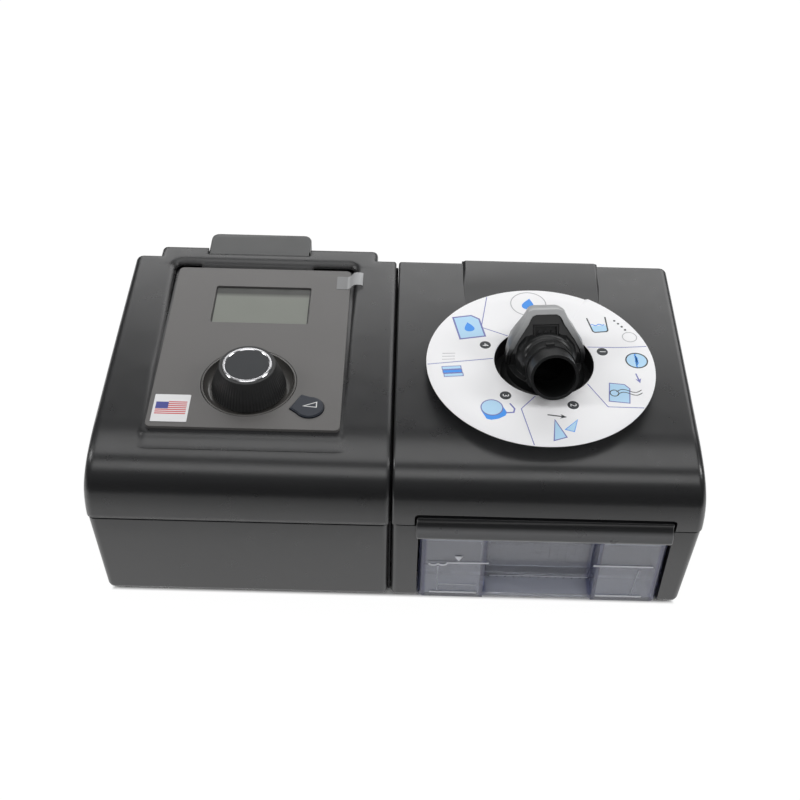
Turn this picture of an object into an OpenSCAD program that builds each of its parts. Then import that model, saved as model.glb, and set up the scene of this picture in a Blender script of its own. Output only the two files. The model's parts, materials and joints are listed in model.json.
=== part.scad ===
// Bilevel airway pressure unit with its heated humidifier docked on the right.
// Axes: +Z up, both fronts face -Y, the humidifier is at +X.
// The origin is on the floor below the middle of the whole machine.
// Modules draw in bench places: x from the seam, y from the front of the lower cases.

/* [Cases] */
// Width of the therapy unit at its shoulders
unit_w = 144.4; // [142:0.2:160]
// Width of the humidifier at its shoulders
hum_w = 148.2; // [145:0.2:160]
// Depth of the lower cases, front to back
case_d = 145.6; // [144:0.2:160]
// Height of the top surface at the back edge
top_z = 98; // [97:0.5:104]
// Height of the line between lower and upper cases
part_z = 56; // [55:0.5:58]
// Wall thickness of the case mouldings
wall = 2.4; // [1.8:0.1:2.8]
// Gap between the two modules
seam_gap = 1.2; // [1:0.1:3]
// How far the unit's back bulges behind the main back face
bulge_d = 6.2; // [5:0.1:10]
// Height of the rubber feet that show below the cases
foot_h = 1.5; // [1:0.1:3]

/* [Front curve] */
// How far the fronts stand ahead of the bench line y = 0
front_out = 2.3; // [1:0.1:4]
// How far the nose leans out over the lower fronts
lean = 0.4; // [0.2:0.1:2]
// Height at which the flat front turns into the nose
nose_z = 74; // [72:0.5:76]
// Radius of the nose above that line
nose_r = 18; // [16:0.5:20]
// Radius that blends the nose into the top
blend_r = 60; // [50:1:90]
// Radius of the slight crown of the top
crown_r = 2000; // [1800:100:4000]
// Radius of the outer top edges
edge_r = 3.4; // [3:0.1:3.8]

/* [Control panel] */
// Width of the panel plate
panel_w = 90; // [86:0.5:92]
// Distance from the panel plate to the back edge of the case
panel_back = 8.9; // [7:0.1:14]
// Thickness of the panel plate
panel_t = 1.7; // [1.2:0.1:2.2]
// Width of the display window
window_w = 49; // [47:0.5:56]
// Height of the display window
window_h = 28.5; // [27:0.5:32]
// Diameter of the control wheel at its base
wheel_d = 36; // [34:0.5:38]
// Height of the control wheel
wheel_h = 14.8; // [12:0.2:18]
// How far the control wheel presses in
wheel_travel = 1; // [0.5:0.1:1.2]
// Width of the round part of the ramp button
ramp_d = 13.6; // [11:0.2:14.6]
// How far the ramp button presses in
ramp_travel = 0.8; // [0.4:0.1:0.8]

/* [Humidifier] */
// Width of the water tank
tank_w = 119; // [112:0.5:119]
// Room between the water tank and the back edge of the case
tank_back = 18.1; // [17:0.1:24]
// Wall thickness of the water tank
tank_wall = 2; // [1.6:0.1:2.4]
// Width of the grip recess in the tank's front
grip_w = 54; // [46:0.5:60]
// Depth of the grip recess
grip_d = 11.5; // [9:0.5:13]
// Length of the lip bar on the lid's front
lip_w = 120.8; // [119:0.2:126]
// Height of the lip bar
lip_h = 12; // [10:0.5:13]
// Outer diameter of the instruction card
card_d = 111; // [96:1:116]
// Thickness of the instruction card
card_t = 0.6; // [0.4:0.1:1]

/* [Air outlet] */
// Outer diameter of the hose port
port_d = 22.4; // [22:0.1:22.6]
// Bore of the hose port
port_bore = 19.7; // [18:0.1:20]
// Rise of the hose port above level
port_rise = 22; // [18:1:28]
// Reach of the hose port from the swivel axis
port_reach = 29; // [27:0.5:31]
// Height of the swivel collar above the lid
collar_h = 5; // [4:0.1:6]
// Turn of the elbow at rest, towards the right
port_turn = 4; // [-20:1:20]

/* [Clearances] */
// Radial clearance where a shaft turns in a bore
run_gap = 0.05; // [0.03:0.01:0.1]
// Gap around pieces that sit in or slide past others
fit_gap = 0.3; // [0.2:0.05:0.4]
// Gap around the water tank
tank_gap = 0.6; // [0.5:0.1:0.9]

/* [Hidden] */

charcoal = "#505354";
dark = "#2b2c2e";
eps = 0.01;

// Middle of the whole machine, which becomes the origin
nose_out = front_out + lean;
lip_out = front_out + 3.9;
tab_back = case_d + bulge_d + 13.1;
x_mid = (hum_w - unit_w) / 2;
y_mid = (tab_back - lip_out) / 2;
module place() { translate([-x_mid, -y_mid, 0]) children(); }

// Outlines run anticlockwise, seen from the side that their rings stack towards
function arc(c, r, a0, a1, n) =
  [for (i = [0:n]) let (a = a0 + (a1 - a0) * i / n) c + r * [cos(a), sin(a)]];
function arc_on(c, r, a0, a1, n) =
  [for (i = [1:n]) let (a = a0 + (a1 - a0) * i / n) c + r * [cos(a), sin(a)]];
function angle_of(v) = atan2(v[1], v[0]);
function rounded(x0, y0, x1, y1, r, n = 5) = concat(
  arc([x1 - r, y0 + r], r, -90, 0, n), arc([x1 - r, y1 - r], r, 0, 90, n),
  arc([x0 + r, y1 - r], r, 90, 180, n), arc([x0 + r, y0 + r], r, 180, 270, n));
function at_height(outline, z) = [for (p = outline) [p[0], p[1], z]];
function at_depth(outline, y) = [for (p = outline) [p[0], y, p[1]]];
function at_side(outline, x) = [for (p = outline) [x, p[0], p[1]]];

// Upper one of the two points where two circles meet
function circles_meet(c0, r0, c1, r1) =
  let (d = norm(c1 - c0), u = (c1 - c0) / d, a = (r0 * r0 - r1 * r1 + d * d) / (2 * d),
       h = sqrt(r0 * r0 - a * a))
  c0 + a * u + h * [u[1], -u[0]];

module loft(rings) {
  m = len(rings[0]);
  n = len(rings);
  polyhedron(
    points = [for (r = rings) each r],
    faces = concat(
      [[for (j = [0:m - 1]) j]], [[for (j = [m - 1:-1:0]) (n - 1) * m + j]],
      [for (i = [0:n - 2], j = [0:m - 1]) let (k = (j + 1) % m)
        each [[i * m + j, (i + 1) * m + j, (i + 1) * m + k], [i * m + j, (i + 1) * m + k, i * m + k]]]),
    convexity = 6);
}
module slab(outline, z, h) { translate([0, 0, z]) linear_extrude(h) polygon(outline); }
module box(x0, y0, z0, x1, y1, z1) { translate([x0, y0, z0]) cube([x1 - x0, y1 - y0, z1 - z0]); }
module rod(x, y, z0, z1, r) { translate([x, y, z0]) cylinder(r = r, h = z1 - z0, $fn = 64); }
module rod_x(x0, x1, y, z, r) {
  translate([x0, y, z]) rotate([0, 90, 0]) cylinder(r = r, h = x1 - x0, $fn = 64);
}
module rod_y(x, y0, y1, z, r) {
  translate([x, y0, z]) rotate([-90, 0, 0]) cylinder(r = r, h = y1 - y0, $fn = 64);
}
module mirrored() { mirror([1, 0, 0]) children(); }

// Side view of an upper shell: crown, blend, nose and front as tangent arcs
foot_edge = 0.8;
front_drop = nose_z - part_z - foot_edge;
tuck_r = (pow(front_drop, 2) + pow(lean, 2)) / (2 * lean);
back_r = 3.6;
crown_c = [case_d, top_z - crown_r];
nose_c = [nose_r - nose_out, nose_z];
blend_c = circles_meet(crown_c, crown_r - blend_r, nose_c, blend_r - nose_r);
tuck_c = [tuck_r - nose_out, nose_z];
crown_end = angle_of(blend_c - crown_c);
blend_end = angle_of(nose_c - blend_c);
tuck_end = 180 + asin(front_drop / tuck_r);
function side_view(t, down) = concat(
  [[tuck_c[0] + (tuck_r - t) * cos(tuck_end), part_z - down], [case_d - t, part_z - down]],
  arc([case_d - back_r, top_z - back_r], max(back_r - t, 0.2), 0, 88, 4),
  arc_on(crown_c, crown_r - t, 90 + asin(back_r / crown_r), crown_end, 4),
  arc_on(blend_c, blend_r - t, crown_end, blend_end, 5),
  arc_on(nose_c, nose_r - t, blend_end, 180, 11),
  arc_on(tuck_c, tuck_r - t, 180, tuck_end, 4));
// Height of the crown at a depth y
function crown_z(y) = crown_c[1] + sqrt(pow(crown_r, 2) - pow(y - crown_c[0], 2));

// Upper shell of width w on the left of the seam, t inside its outer skin.
// Its side leans in above the parting line and is drawn in below the nose.
side_draft = 0.15;
side_in = 1.2;
function side_x(z) = side_draft * (max(z, part_z) - part_z)
  + side_in * pow(max(nose_z + 2 - max(z, part_z), 0) / (nose_z + 2 - part_z), 2);
seam_r = 1.4;
edge_steps = 4;
function edge_ring(w, t, down, r, k, outer) =
  let (a = 90 * k / edge_steps, d = r * (1 - sin(a)), e = r * (1 - cos(a)))
  [for (p = side_view(t + d, down))
    [outer ? -w + t + e + side_x(p[1]) : -seam_gap / 2 - t - e, p[0], p[1]]];
module upper_form(w, t = 0, down = 0) {
  outer_r = max(edge_r - t, 0.6);
  inner_r = max(seam_r - t, 0.4);
  loft(concat(
    [for (k = [0:edge_steps]) edge_ring(w, t, down, outer_r, k, true)],
    [for (k = [edge_steps:-1:0]) edge_ring(w, t, down, inner_r, k, false)]));
}

// Lower case of width w on the left of the seam, t inside its outer skin
shoulder = 1.8;
base_draft = 2.3;
corner_r = 3.4;
bottom_r = 3;
floor_z = foot_h + wall;
function base_ring(w, t, z, d) =
  let (s = base_draft * (part_z - z) / part_z)
  at_height(rounded(-w + shoulder + s + t + d, t + d - front_out, -seam_gap / 2 - t - d, case_d - t - d,
    max(corner_r - t - d, 0.5)), z);
module lower_form(w) {
  loft(concat(
    [for (a = [0:30:90]) base_ring(w, 0, foot_h + bottom_r * (1 - cos(a)), bottom_r * (1 - sin(a)))],
    [base_ring(w, 0, part_z, 0)]));
}
module lower_cavity(w) {
  loft([base_ring(w, wall, floor_z, 0), base_ring(w, wall, part_z + 1, 0)]);
}

// Blade in the seam that shuts out light: it sits inside the outlines of both modules
module seam_blade(upper) {
  x0 = -seam_gap / 2 - 0.6;
  x1 = seam_gap / 2 - fit_gap;
  if (upper) loft([at_side(side_view(3.2, 0), x0), at_side(side_view(3.2, 0), x1)]);
  else box(x0, 3 - front_out, foot_h + 2.6, x1, case_d - 3.2, part_z);
}

// Places on the therapy unit
bulge_x0 = -unit_w + 18.6;
bulge_x1 = -10.6;
tab_x0 = -100.7;
tab_x1 = -46.9;
tab_r = 4;
tab_floor = 66;
tab_front = case_d + 1;
panel_x0 = -114.3;
panel_x1 = panel_x0 + panel_w;
panel_y0 = 20;
panel_y1 = case_d - panel_back;
panel_top = 96;
tray_top = panel_top - panel_t;
tray_z = tray_top - 3;
window_x = -68.7;
window_y = panel_y1 - 28.8;
lens_t = 1;
dial_x = -69.3;
dial_y = 50.6;
dish_r = 22.7;
dish_z = tray_z - 1;
dish_floor = dish_z + 1.2;
wheel_z = dish_floor + wheel_travel + 0.4;
wheel_top = wheel_z + wheel_h;
shaft_r = 3;
ramp_x = -39.2;
ramp_y = 34.3;
board_z = 74;
board_t = 1.6;
board_top = board_z + board_t;
board_x0 = -unit_w + 10;
board_x1 = -9;
post_r = 3.2;
post_x = [board_x0 + 5, board_x1 - 5];
post_y = [24, case_d - 24];
screw_x = [-unit_w + 9.5, -8.5];
screw_y = [9.5, case_d - 9.5];
screw_seat = part_z - 15;

// Blower, air path and rear sockets
fan_x = -78;
fan_y = case_d - 57.6;
fan_r = 40;
fan_z = 24;
fan_mid = 36;
fan_top = 50;
fan_wall = 2.2;
eye_r = 14;
impeller_r = 31;
rotor_r = 2;
duct_y = fan_y + 29;
duct_z = 36;
duct_r = 11;
duct_bore = 9;
duct_end = -9;
filter_x0 = -unit_w + 24.4;
filter_x1 = -62;
filter_z0 = 12;
filter_z1 = 46;
cover_out = 1.4;
socket_x = -30;
socket_z = 25;
socket_r = 3.4;
hook_y = [28, 84];
hook_z = 20;
foot_r = 4.5;
foot_in = 1;
unit_foot_x = [-unit_w + 22, -20];
unit_foot_y = [20, case_d - 16];

// Places on the humidifier
bay_x = 73.5;
tank_x0 = bay_x - tank_w / 2;
tank_x1 = bay_x + tank_w / 2;
bay_x0 = tank_x0 - tank_gap;
bay_x1 = tank_x1 + tank_gap;
tank_y0 = -front_out;
tank_y1 = case_d - tank_back;
bay_y1 = tank_y1 + tank_gap;
bay_floor = foot_h + 3.5;
hum_foot_r = 3.1;
hum_foot_x = [7.5, bay_x1 + 0.4 + hum_foot_r];
hum_foot_y = [10, case_d - 10];
lip_x0 = bay_x - 0.8 - lip_w / 2;
lip_x1 = lip_x0 + lip_w;
lip_top = part_z + 6;
lip_low = lip_top - lip_h;
notch_z = lip_top + 2.2;
step_y = tank_y0 + grip_d + tank_wall + 2;
pad_h = 2.2;
plate_h = 2.5;
plate_top = bay_floor + pad_h + plate_h;
tank_z = plate_top + fit_gap;
tank_low = foot_h + 0.6;
tank_rim = 44;
gasket_h = 0.8;
tank_top = lip_low - 0.6;
plate_w = 90;
plate_l = 78;
plate_y = 66;
plate_t = 1.2;
port_x = 72;
port_y = 64.3;
inlet_r = 8;
lid_gap = 0.6;
hinge_y = case_d - 5;
hinge_z = top_z - 10;
pin_r = 2;
ear_r = 4.5;
block_x0 = 38.5;
block_x1 = 101.5;
block_y0 = case_d - 12;
ear_w = 9;
knuckle_w = 11;
knuckle_x = [block_x0 + ear_w + 1.5, block_x1 - ear_w - 1.5 - knuckle_w];
liner_z = part_z + 2.4;
liner_t = 2;
lid_post_x = [14, hum_w - 16];
lid_post_y = [14, 118];
hump_x0 = 34;
hump_x1 = 105.4;
hump_h = 1.5;

// Swivel outlet, measured from the lid's top surface
deck_z = crown_z(port_y);
collar_top = deck_z + collar_h;
collar_bore = 24;
collar_r = 27.6;
collar_sleeve = collar_r - 2;
collar_seat = deck_z - 1.6;
collar_floor = deck_z - 5;
collar_low = collar_floor - 2.5;
neck_r = 15;
neck_bore = 11;
turn_z = collar_top + 4.1;
hood_z = collar_top + 1;
body_r = 17.8;
drum_r = 15;
bell_r = 13.2;
card_z = collar_top;

// Therapy unit, cases
module at_each(xs, ys) { for (x = xs, y = ys) translate([x, y, 0]) children(); }
module upright(z0, z1, r) { translate([0, 0, z0]) cylinder(r = r, h = z1 - z0, $fn = 48); }

module bulge_form(z0, z1, t, back) {
  function ring(y, d) = at_depth(concat([[bulge_x0 + t + d, z0]],
    arc([bulge_x0 + 3, z1 - 3], 3 - t - d, 180, 90, 4),
    arc([bulge_x1 - 3, z1 - 3], 3 - t - d, 90, 0, 4), [[bulge_x1 - t - d, z0]]), y);
  y1 = case_d + bulge_d - back;
  loft([ring(case_d - 8, 0), ring(y1 - 1.2, 0), ring(y1 - 0.4, 0.2), ring(y1, 0.6)]);
}

// Dark line below the upper case, along the front and the outer side
groove_h = 0.8;
module parting_groove() difference() {
  box(-unit_w - 5, -20, part_z - groove_h, -seam_gap / 2, case_d - 10, part_z + 1);
  slab([for (p = base_ring(unit_w, 1.1, part_z, 0)) [p[0], p[1]]], part_z - 1, 3);
}

module unit_base() color(charcoal) place() difference() {
  union() {
    difference() {
      union() {
        lower_form(unit_w);
        box(bulge_x0, case_d - 8, foot_h, bulge_x1, case_d + bulge_d, part_z);
        seam_blade(false);
      }
      lower_cavity(unit_w);
      box(bulge_x0 + wall, case_d - 9, floor_z, bulge_x1 - wall, case_d + bulge_d - wall, part_z + 1);
    }
    at_each(screw_x, screw_y) upright(floor_z - eps, part_z - 12, 4.2);
    // Seats of the filter and of the power inlet
    box(filter_x0 - wall, case_d + 1, floor_z - eps, filter_x1 + wall,
      case_d + bulge_d - eps, filter_z1 + wall);
    box(socket_x - 9, case_d - 4, floor_z - eps, socket_x + 9, case_d + bulge_d - eps, socket_z + 10);
  }
  box(filter_x0, case_d + 3, filter_z0, filter_x1, case_d + bulge_d + 1, filter_z1);
  box(filter_x0 + 3, case_d, filter_z0 + 3, filter_x1 - 3, case_d + 4, filter_z1 - 3);
  box(socket_x - 6, case_d - 5, socket_z - 6, socket_x + 6, case_d + bulge_d + 1, socket_z + 6);
  // Air coupling and dock hooks pass through the wall at the seam
  rod_x(-seam_gap / 2 - wall - 1, 1, duct_y, duct_z, duct_r + run_gap);
  for (y = hook_y) box(-10, y - 7, hook_z - 4, 1, y + 7, hook_z + 4);
  at_each(screw_x, screw_y) upright(foot_h - 1, part_z - 11, 1.7);
  at_each(screw_x, screw_y) upright(foot_h - 1, screw_seat, 3.1);
  at_each(unit_foot_x, unit_foot_y) upright(0, foot_h + foot_in, foot_r);
  parting_groove();
  // Cooling slots in the floor
  for (i = [0:6]) box(-96 + 6 * i, 30, 0, -93 + 6 * i, 46, floor_z + 1);
}

// Footprint of the panel's pocket and plateau, grown by g
function panel_area(g, front) =
  rounded(panel_x0 - 1.3 - g, panel_y0 - front - g, panel_x1 + 1.3 + g, panel_y1 + 1.3 + g, 3 + g, 7);

module unit_top() color(charcoal) place() difference() {
  union() {
    difference() {
      union() {
        upper_form(unit_w);
        seam_blade(true);
        bulge_form(part_z, top_z, 0, 0);
      }
      upper_form(unit_w, wall, 1);
      bulge_form(part_z - 1, top_z, wall, wall);
    }
    // Plateau that carries the panel, with a cove round its foot
    loft([for (k = [[6.8, 0.3], [4.9, 0.95], [3.4, 1.4], [2.2, 1.85], [1.3, 2.3], [0.6, 2.75], [0.3, 3]])
      at_height(panel_area(k[0], 3), tray_z + k[1])]);
    // Posts that hang from the skin
    intersection() {
      union() {
        at_each(post_x, post_y) upright(board_top, top_z, post_r);
        at_each(screw_x, screw_y) upright(part_z - 12 + fit_gap, top_z, 3.8);
      }
      upper_form(unit_w, wall / 2, 14);
    }
    // Walls of the accessory slot
    box(tab_x0 - wall, case_d - 7, tab_floor - wall, tab_x1 + wall, case_d + bulge_d - 1, top_z - 2);
  }
  // Pocket round the panel, its rim rolled outwards
  loft([for (k = [[0, 0], [0.5, 0.9], [1.3, 1.9], [2.4, 2.8], [4, 3.6], [6.5, 4.6]])
    at_height(panel_area(k[0], 1.3), tray_top + k[1])]);
  box(tab_x0 - fit_gap, tab_front - fit_gap, tab_floor, tab_x1 + fit_gap, tab_back + 1, top_z + 1);
  // Openings under the panel
  box(window_x - 23, window_y - 12.7, tray_z - 1, window_x + 23, window_y + 12.7, tray_top + 1);
  rod(dial_x, dial_y, tray_z - 1, tray_top + 1, dish_r + fit_gap);
  translate([0, 0, tray_z - 1]) linear_extrude(panel_t + 5) ramp_plan(fit_gap);
  at_each(screw_x, screw_y) upright(part_z - 13, part_z + 2, 1.25);
}

// Control panel
// Round button with a straight side that faces the dial
module ramp_plan(g) {
  r = ramp_d / 2 + g;
  translate([ramp_x, ramp_y]) rotate(152)
    polygon(concat(arc([0, 0], r, 62, 298, 16), [[r + 0.8, -5.2 - g], [r + 0.8, 5.2 + g]]));
}

module panel_plate() color("#7a7675") place() difference() {
  slab(rounded(panel_x0, panel_y0, panel_x1, panel_y1, 2.5), tray_top, panel_t);
  slab(rounded(window_x - window_w / 2, window_y - window_h / 2, window_x + window_w / 2,
    window_y + window_h / 2, 1), tray_top - 1, panel_t + 2);
  rod(dial_x, dial_y, tray_top - 1, panel_top + 1, dish_r + fit_gap);
  translate([0, 0, tray_top - 1]) linear_extrude(panel_t + 2) ramp_plan(fit_gap);
}

module display_lens() color("#9aa39a", 0.35) place()
  slab(rounded(window_x - window_w / 2 + fit_gap / 3, window_y - window_h / 2 + fit_gap / 3,
    window_x + window_w / 2 - fit_gap / 3, window_y + window_h / 2 - fit_gap / 3, 1),
    tray_top, lens_t);

module display_module() color("#7f867c") place() {
  box(window_x - 22.7, window_y - 12.4, tray_z - eps, window_x + 22.7, window_y + 12.4,
    tray_top - 0.2);
  difference() {
    box(window_x - 30, window_y - 18, board_top, window_x + 30, window_y + 18, tray_z);
    box(window_x - 28, window_y - 16, board_top - 1, window_x + 28, window_y + 16, tray_z - 4);
  }
}

// Glossy dished ring around the control wheel
dish_in = dish_r - 0.8;
dish_bend = 3.2;
module dial_dish() color("#77777a") place() translate([dial_x, dial_y, 0])
  rotate_extrude($fn = 96) polygon(concat(
    [[shaft_r + 1, dish_z], [dish_r + 2, dish_z], [dish_r + 2, tray_z], [dish_r, tray_z],
     [dish_r, panel_top], [dish_in, panel_top]],
    [for (a = [15:15:75]) [dish_in - dish_bend * (1 - cos(a)),
      panel_top - (panel_top - dish_floor) * sin(a)]],
    [[dish_in - dish_bend, dish_floor], [shaft_r + 1, dish_floor]]));

rib_count = 72;
function ribbed(r, z, depth) =
  [for (i = [0:2 * rib_count - 1]) let (a = 180 * i / rib_count, q = i % 2 == 0 ? r : r - depth)
    [q * cos(a), q * sin(a), z]];
ring_r = 11.85;
ring_w = 1.6;
ring_seat = wheel_top - 2.2;
module at_dial(z = 0) { translate([dial_x, dial_y, z]) children(); }
module control_wheel() color(dark) place() at_dial() difference() {
  union() {
    difference() {
      loft([ribbed(wheel_d / 2 - 0.4, wheel_z, 0.3), ribbed(wheel_d / 2, wheel_z + 0.8, 0.35),
        ribbed(wheel_d / 2 - 1.2, wheel_z + 0.35 * wheel_h, 0.35),
        ribbed(wheel_d / 2 - 4, wheel_top - 1.6, 0.3),
        ribbed(wheel_d / 2 - 4.7, wheel_top - 0.4, 0.02)]);
      translate([0, 0, wheel_z - 1])
        cylinder(r1 = wheel_d / 2 - 2, r2 = wheel_d / 2 - 6, h = wheel_h - 3.8, $fn = 96);
    }
    upright(wheel_z + 0.4, wheel_top - 3, shaft_r + 2.5);
  }
  upright(wheel_z - 1, wheel_top - 4, shaft_r + run_gap);
  upright(ring_seat, wheel_top + 1, ring_r);
}

module wheel_ring() color("silver") place() at_dial(ring_seat)
  rotate_extrude($fn = 96) polygon([[ring_r - ring_w, 0], [ring_r, 0], [ring_r, 1.9],
    [ring_r - 0.4, 2.3], [ring_r - ring_w + 0.4, 2.3], [ring_r - ring_w, 1.9]]);

module wheel_cap() color("#34373d") place() at_dial(ring_seat)
  cylinder(r = ring_r - ring_w, h = 2, $fn = 96);

module encoder_shaft() color("gray") place() at_dial()
  upright(board_top + wheel_travel + 0.4, wheel_top - 4.2, shaft_r);

module encoder_body() color("#303336") place() difference() {
  box(dial_x - 7, dial_y - 7, board_top, dial_x + 7, dial_y + 7, board_top + 9);
  rod(dial_x, dial_y, board_top + 0.2, board_top + 10, shaft_r + run_gap);
}

stem_r = 1.6;
ramp_base = tray_z - 1.5;
switch_top = board_top + 8;
module ramp_button() color("#24272e") place() {
  translate([0, 0, ramp_base]) linear_extrude(panel_top - ramp_base + 0.6) ramp_plan(0);
  translate([0, 0, panel_top + 0.5]) linear_extrude(0.4) ramp_plan(-0.5);
  // Flange that keeps the button in its opening
  translate([0, 0, ramp_base]) linear_extrude(1.3) ramp_plan(1.4);
  rod(ramp_x, ramp_y, switch_top + ramp_travel + 0.2, ramp_base + eps, stem_r);
}

module ramp_switch() color("#3c3f43") place()
  box(ramp_x - 3.5, ramp_y - 3.5, board_top, ramp_x + 3.5, ramp_y + 3.5, switch_top);

// Pull tab of the clear film on the panel, curled up over the pocket's rim
film_t = 0.2;
film_curl = [[-7, 0], [-1.5, 0], [-0.4, 0.35], [0.4, 1.1], [1.1, 2.2], [2, 3], [3.4, 3.35], [5.2, 3.3],
  [6.6, 2.9]];
module panel_film() color("white", 0.3) place() {
  y1 = panel_y1 - 5;
  translate([panel_x1, y1, panel_top]) rotate([90, 0, 0]) linear_extrude(10)
    polygon(concat(film_curl, [for (i = [len(film_curl) - 1:-1:0]) film_curl[i] + [0, film_t]]));
}
module panel_sticker() color("white") place()
  slab(rounded(panel_x0 + 2.1, panel_y0 + 2.9, panel_x0 + 19, panel_y0 + 20.8, 0.5), panel_top, film_t);

// Electronics and blower
module main_board() color("darkgreen") place() difference() {
  slab(rounded(board_x0, 8, board_x1, case_d - 8, 3), board_z, board_t);
  at_each(post_x, post_y) upright(board_z - 1, board_top + 1, 1.2);
  at_each(screw_x, screw_y) upright(board_z - 1, board_top + 1, 5);
}

module fan_cut() { rod_x(fan_x, duct_end, duct_y, duct_z, duct_r + run_gap); }
module blower_base() color("#3a3d40") place() difference() {
  rod(fan_x, fan_y, fan_z, fan_mid, fan_r);
  rod(fan_x, fan_y, fan_z + fan_wall, fan_mid + 1, fan_r - fan_wall);
  rod(fan_x, fan_y, fan_z - 1, fan_z + fan_wall + 1, rotor_r + 2);
  fan_cut();
}
module blower_cover() color("#3a3d40") place() difference() {
  rod(fan_x, fan_y, fan_mid, fan_top, fan_r);
  rod(fan_x, fan_y, fan_mid - 1, fan_top - fan_wall, fan_r - fan_wall);
  rod(fan_x, fan_y, fan_top - fan_wall - 1, fan_top + 1, eye_r);
  fan_cut();
}

blade_count = 9;
blade_turn = 1.6;
blade_last = 5 * floor((impeller_r - 1) / 5);
function blade_edge(q, thick) = let (a = blade_turn * q + thick / q) q * [cos(a), sin(a)];
module impeller() color("#d8d8d4") place() translate([fan_x, fan_y, fan_z + fan_wall + 2]) difference() {
  union() {
    cylinder(r = impeller_r, h = 1.4, $fn = 96);
    cylinder(r = 6, h = 14, $fn = 64);
    for (i = [0:blade_count - 1]) rotate(360 * i / blade_count) linear_extrude(13)
      polygon(concat([for (q = [5:5:blade_last]) blade_edge(q, 0)],
        [for (q = [blade_last:-5:5]) blade_edge(q, 70)]));
  }
  upright(-1, 20, rotor_r);
}
module rotor_shaft() color("silver") place() rod(fan_x, fan_y, 12, fan_z + fan_wall + 17, rotor_r);
module motor() color("#6c6f73") place() difference() {
  rod(fan_x, fan_y, 8, fan_z, 17);
  rod(fan_x, fan_y, 11, fan_z + 1, rotor_r + run_gap);
}
module blower_mounts() color("#222222") place()
  for (a = [30, 150, 270]) rod(fan_x + 33 * cos(a), fan_y + 33 * sin(a), floor_z, fan_z, 4.5);
module outlet_duct() color("#28292b") place() difference() {
  rod_x(fan_x + 10, duct_end, duct_y, duct_z, duct_r);
  rod_x(fan_x + 9, duct_end + 1, duct_y, duct_z, duct_bore);
  rod(fan_x, fan_y, fan_z, fan_top, fan_r - fan_wall);
}
coupling_end = seam_gap / 2 + wall + 4;
module air_coupling() color("#1d1e20") place() difference() {
  union() {
    rod_x(duct_end, coupling_end, duct_y, duct_z, duct_r);
    rod_x(duct_end, -seam_gap / 2 - wall, duct_y, duct_z, duct_r + 2);
  }
  rod_x(duct_end - 1, coupling_end + 1, duct_y, duct_z, duct_bore);
}
module intake_foam() color("#55585a") place()
  box(filter_x0 + 4, case_d - 12, floor_z + fit_gap, filter_x1 - 4, case_d + 1 - fit_gap, filter_z1);
filter_back = case_d + bulge_d - 1.6;
module filter_foam() color("#8b8f92") place()
  box(filter_x0 + fit_gap, case_d + 3, filter_z0 + fit_gap, filter_x1 - fit_gap, filter_back,
    filter_z1 - fit_gap);
slot_pitch = 4.6;
module filter_cover() color(charcoal) place() difference() {
  union() {
    box(filter_x0 + fit_gap, filter_back, filter_z0 + fit_gap, filter_x1 - fit_gap,
      case_d + bulge_d + eps, filter_z1 - fit_gap);
    translate([0, case_d + bulge_d + cover_out, 0]) rotate([90, 0, 0]) linear_extrude(cover_out)
      polygon(rounded(filter_x0 - 1.5, filter_z0 - 1.5, filter_x1 + 1.5, filter_z1 + 1.5, 2.5));
  }
  for (x = [filter_x0 + 5:slot_pitch:filter_x1 - 6])
    box(x, case_d, filter_z0 + 5, x + 2.4, case_d + bulge_d + 3, filter_z1 - 5);
}
socket_back = case_d + bulge_d;
module power_inlet() color("#1c1d1f") place() {
  difference() {
    box(socket_x - 6, case_d - 5, socket_z - 6, socket_x + 6, socket_back, socket_z + 6);
    rod_y(socket_x, socket_back - 10, socket_back + 1, socket_z, socket_r);
  }
  rod_y(socket_x, socket_back - 10.5, socket_back - 1.5, socket_z, 1);
}
power_z = floor_z + 3;
module power_board() color("darkgreen") place() {
  box(-35, 24, power_z, -9, case_d - 16, power_z + board_t);
  at_each([-31, -13], [28, case_d - 20]) upright(floor_z, power_z, 2.4);
  for (i = [0:2]) rod(-20, 42 + 16 * i, power_z + board_t, 24, 5);
}

function tab_plan(d, z) = at_height(concat([[tab_x0 + d, tab_front], [tab_x1 - d, tab_front]],
  arc([tab_x1 - tab_r, tab_back - tab_r], tab_r - d, 0, 90, 5),
  arc([tab_x0 + tab_r, tab_back - tab_r], tab_r - d, 90, 180, 5)), z);
tab_top = top_z - 0.3;
module accessory_module() color("#5c6061") place()
  loft([tab_plan(0, tab_floor + fit_gap), tab_plan(0, tab_top - 1.2), tab_plan(0.4, tab_top - 0.4),
    tab_plan(1.3, tab_top)]);

module dock_hooks() color("#2a2b2d") place() for (y = hook_y) {
  box(-8, y - 6, hook_z - 3, seam_gap / 2 + 3, y + 6, hook_z + 1.4);
  box(-8, y - 6, hook_z + 1.3, -seam_gap / 2 - wall - 1, y + 6, hook_z + 3.4);
}

module rubber_feet() color("#1a1b1c") place() {
  at_each(unit_foot_x, unit_foot_y) upright(0, foot_h + foot_in, foot_r);
  at_each(hum_foot_x, hum_foot_y) upright(0, foot_h + foot_in, hum_foot_r);
}

module case_screws() color("silver") place() at_each(screw_x, screw_y) {
  upright(screw_seat - 3, screw_seat, 2.8);
  upright(screw_seat, part_z + 1, 1.25);
}

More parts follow.
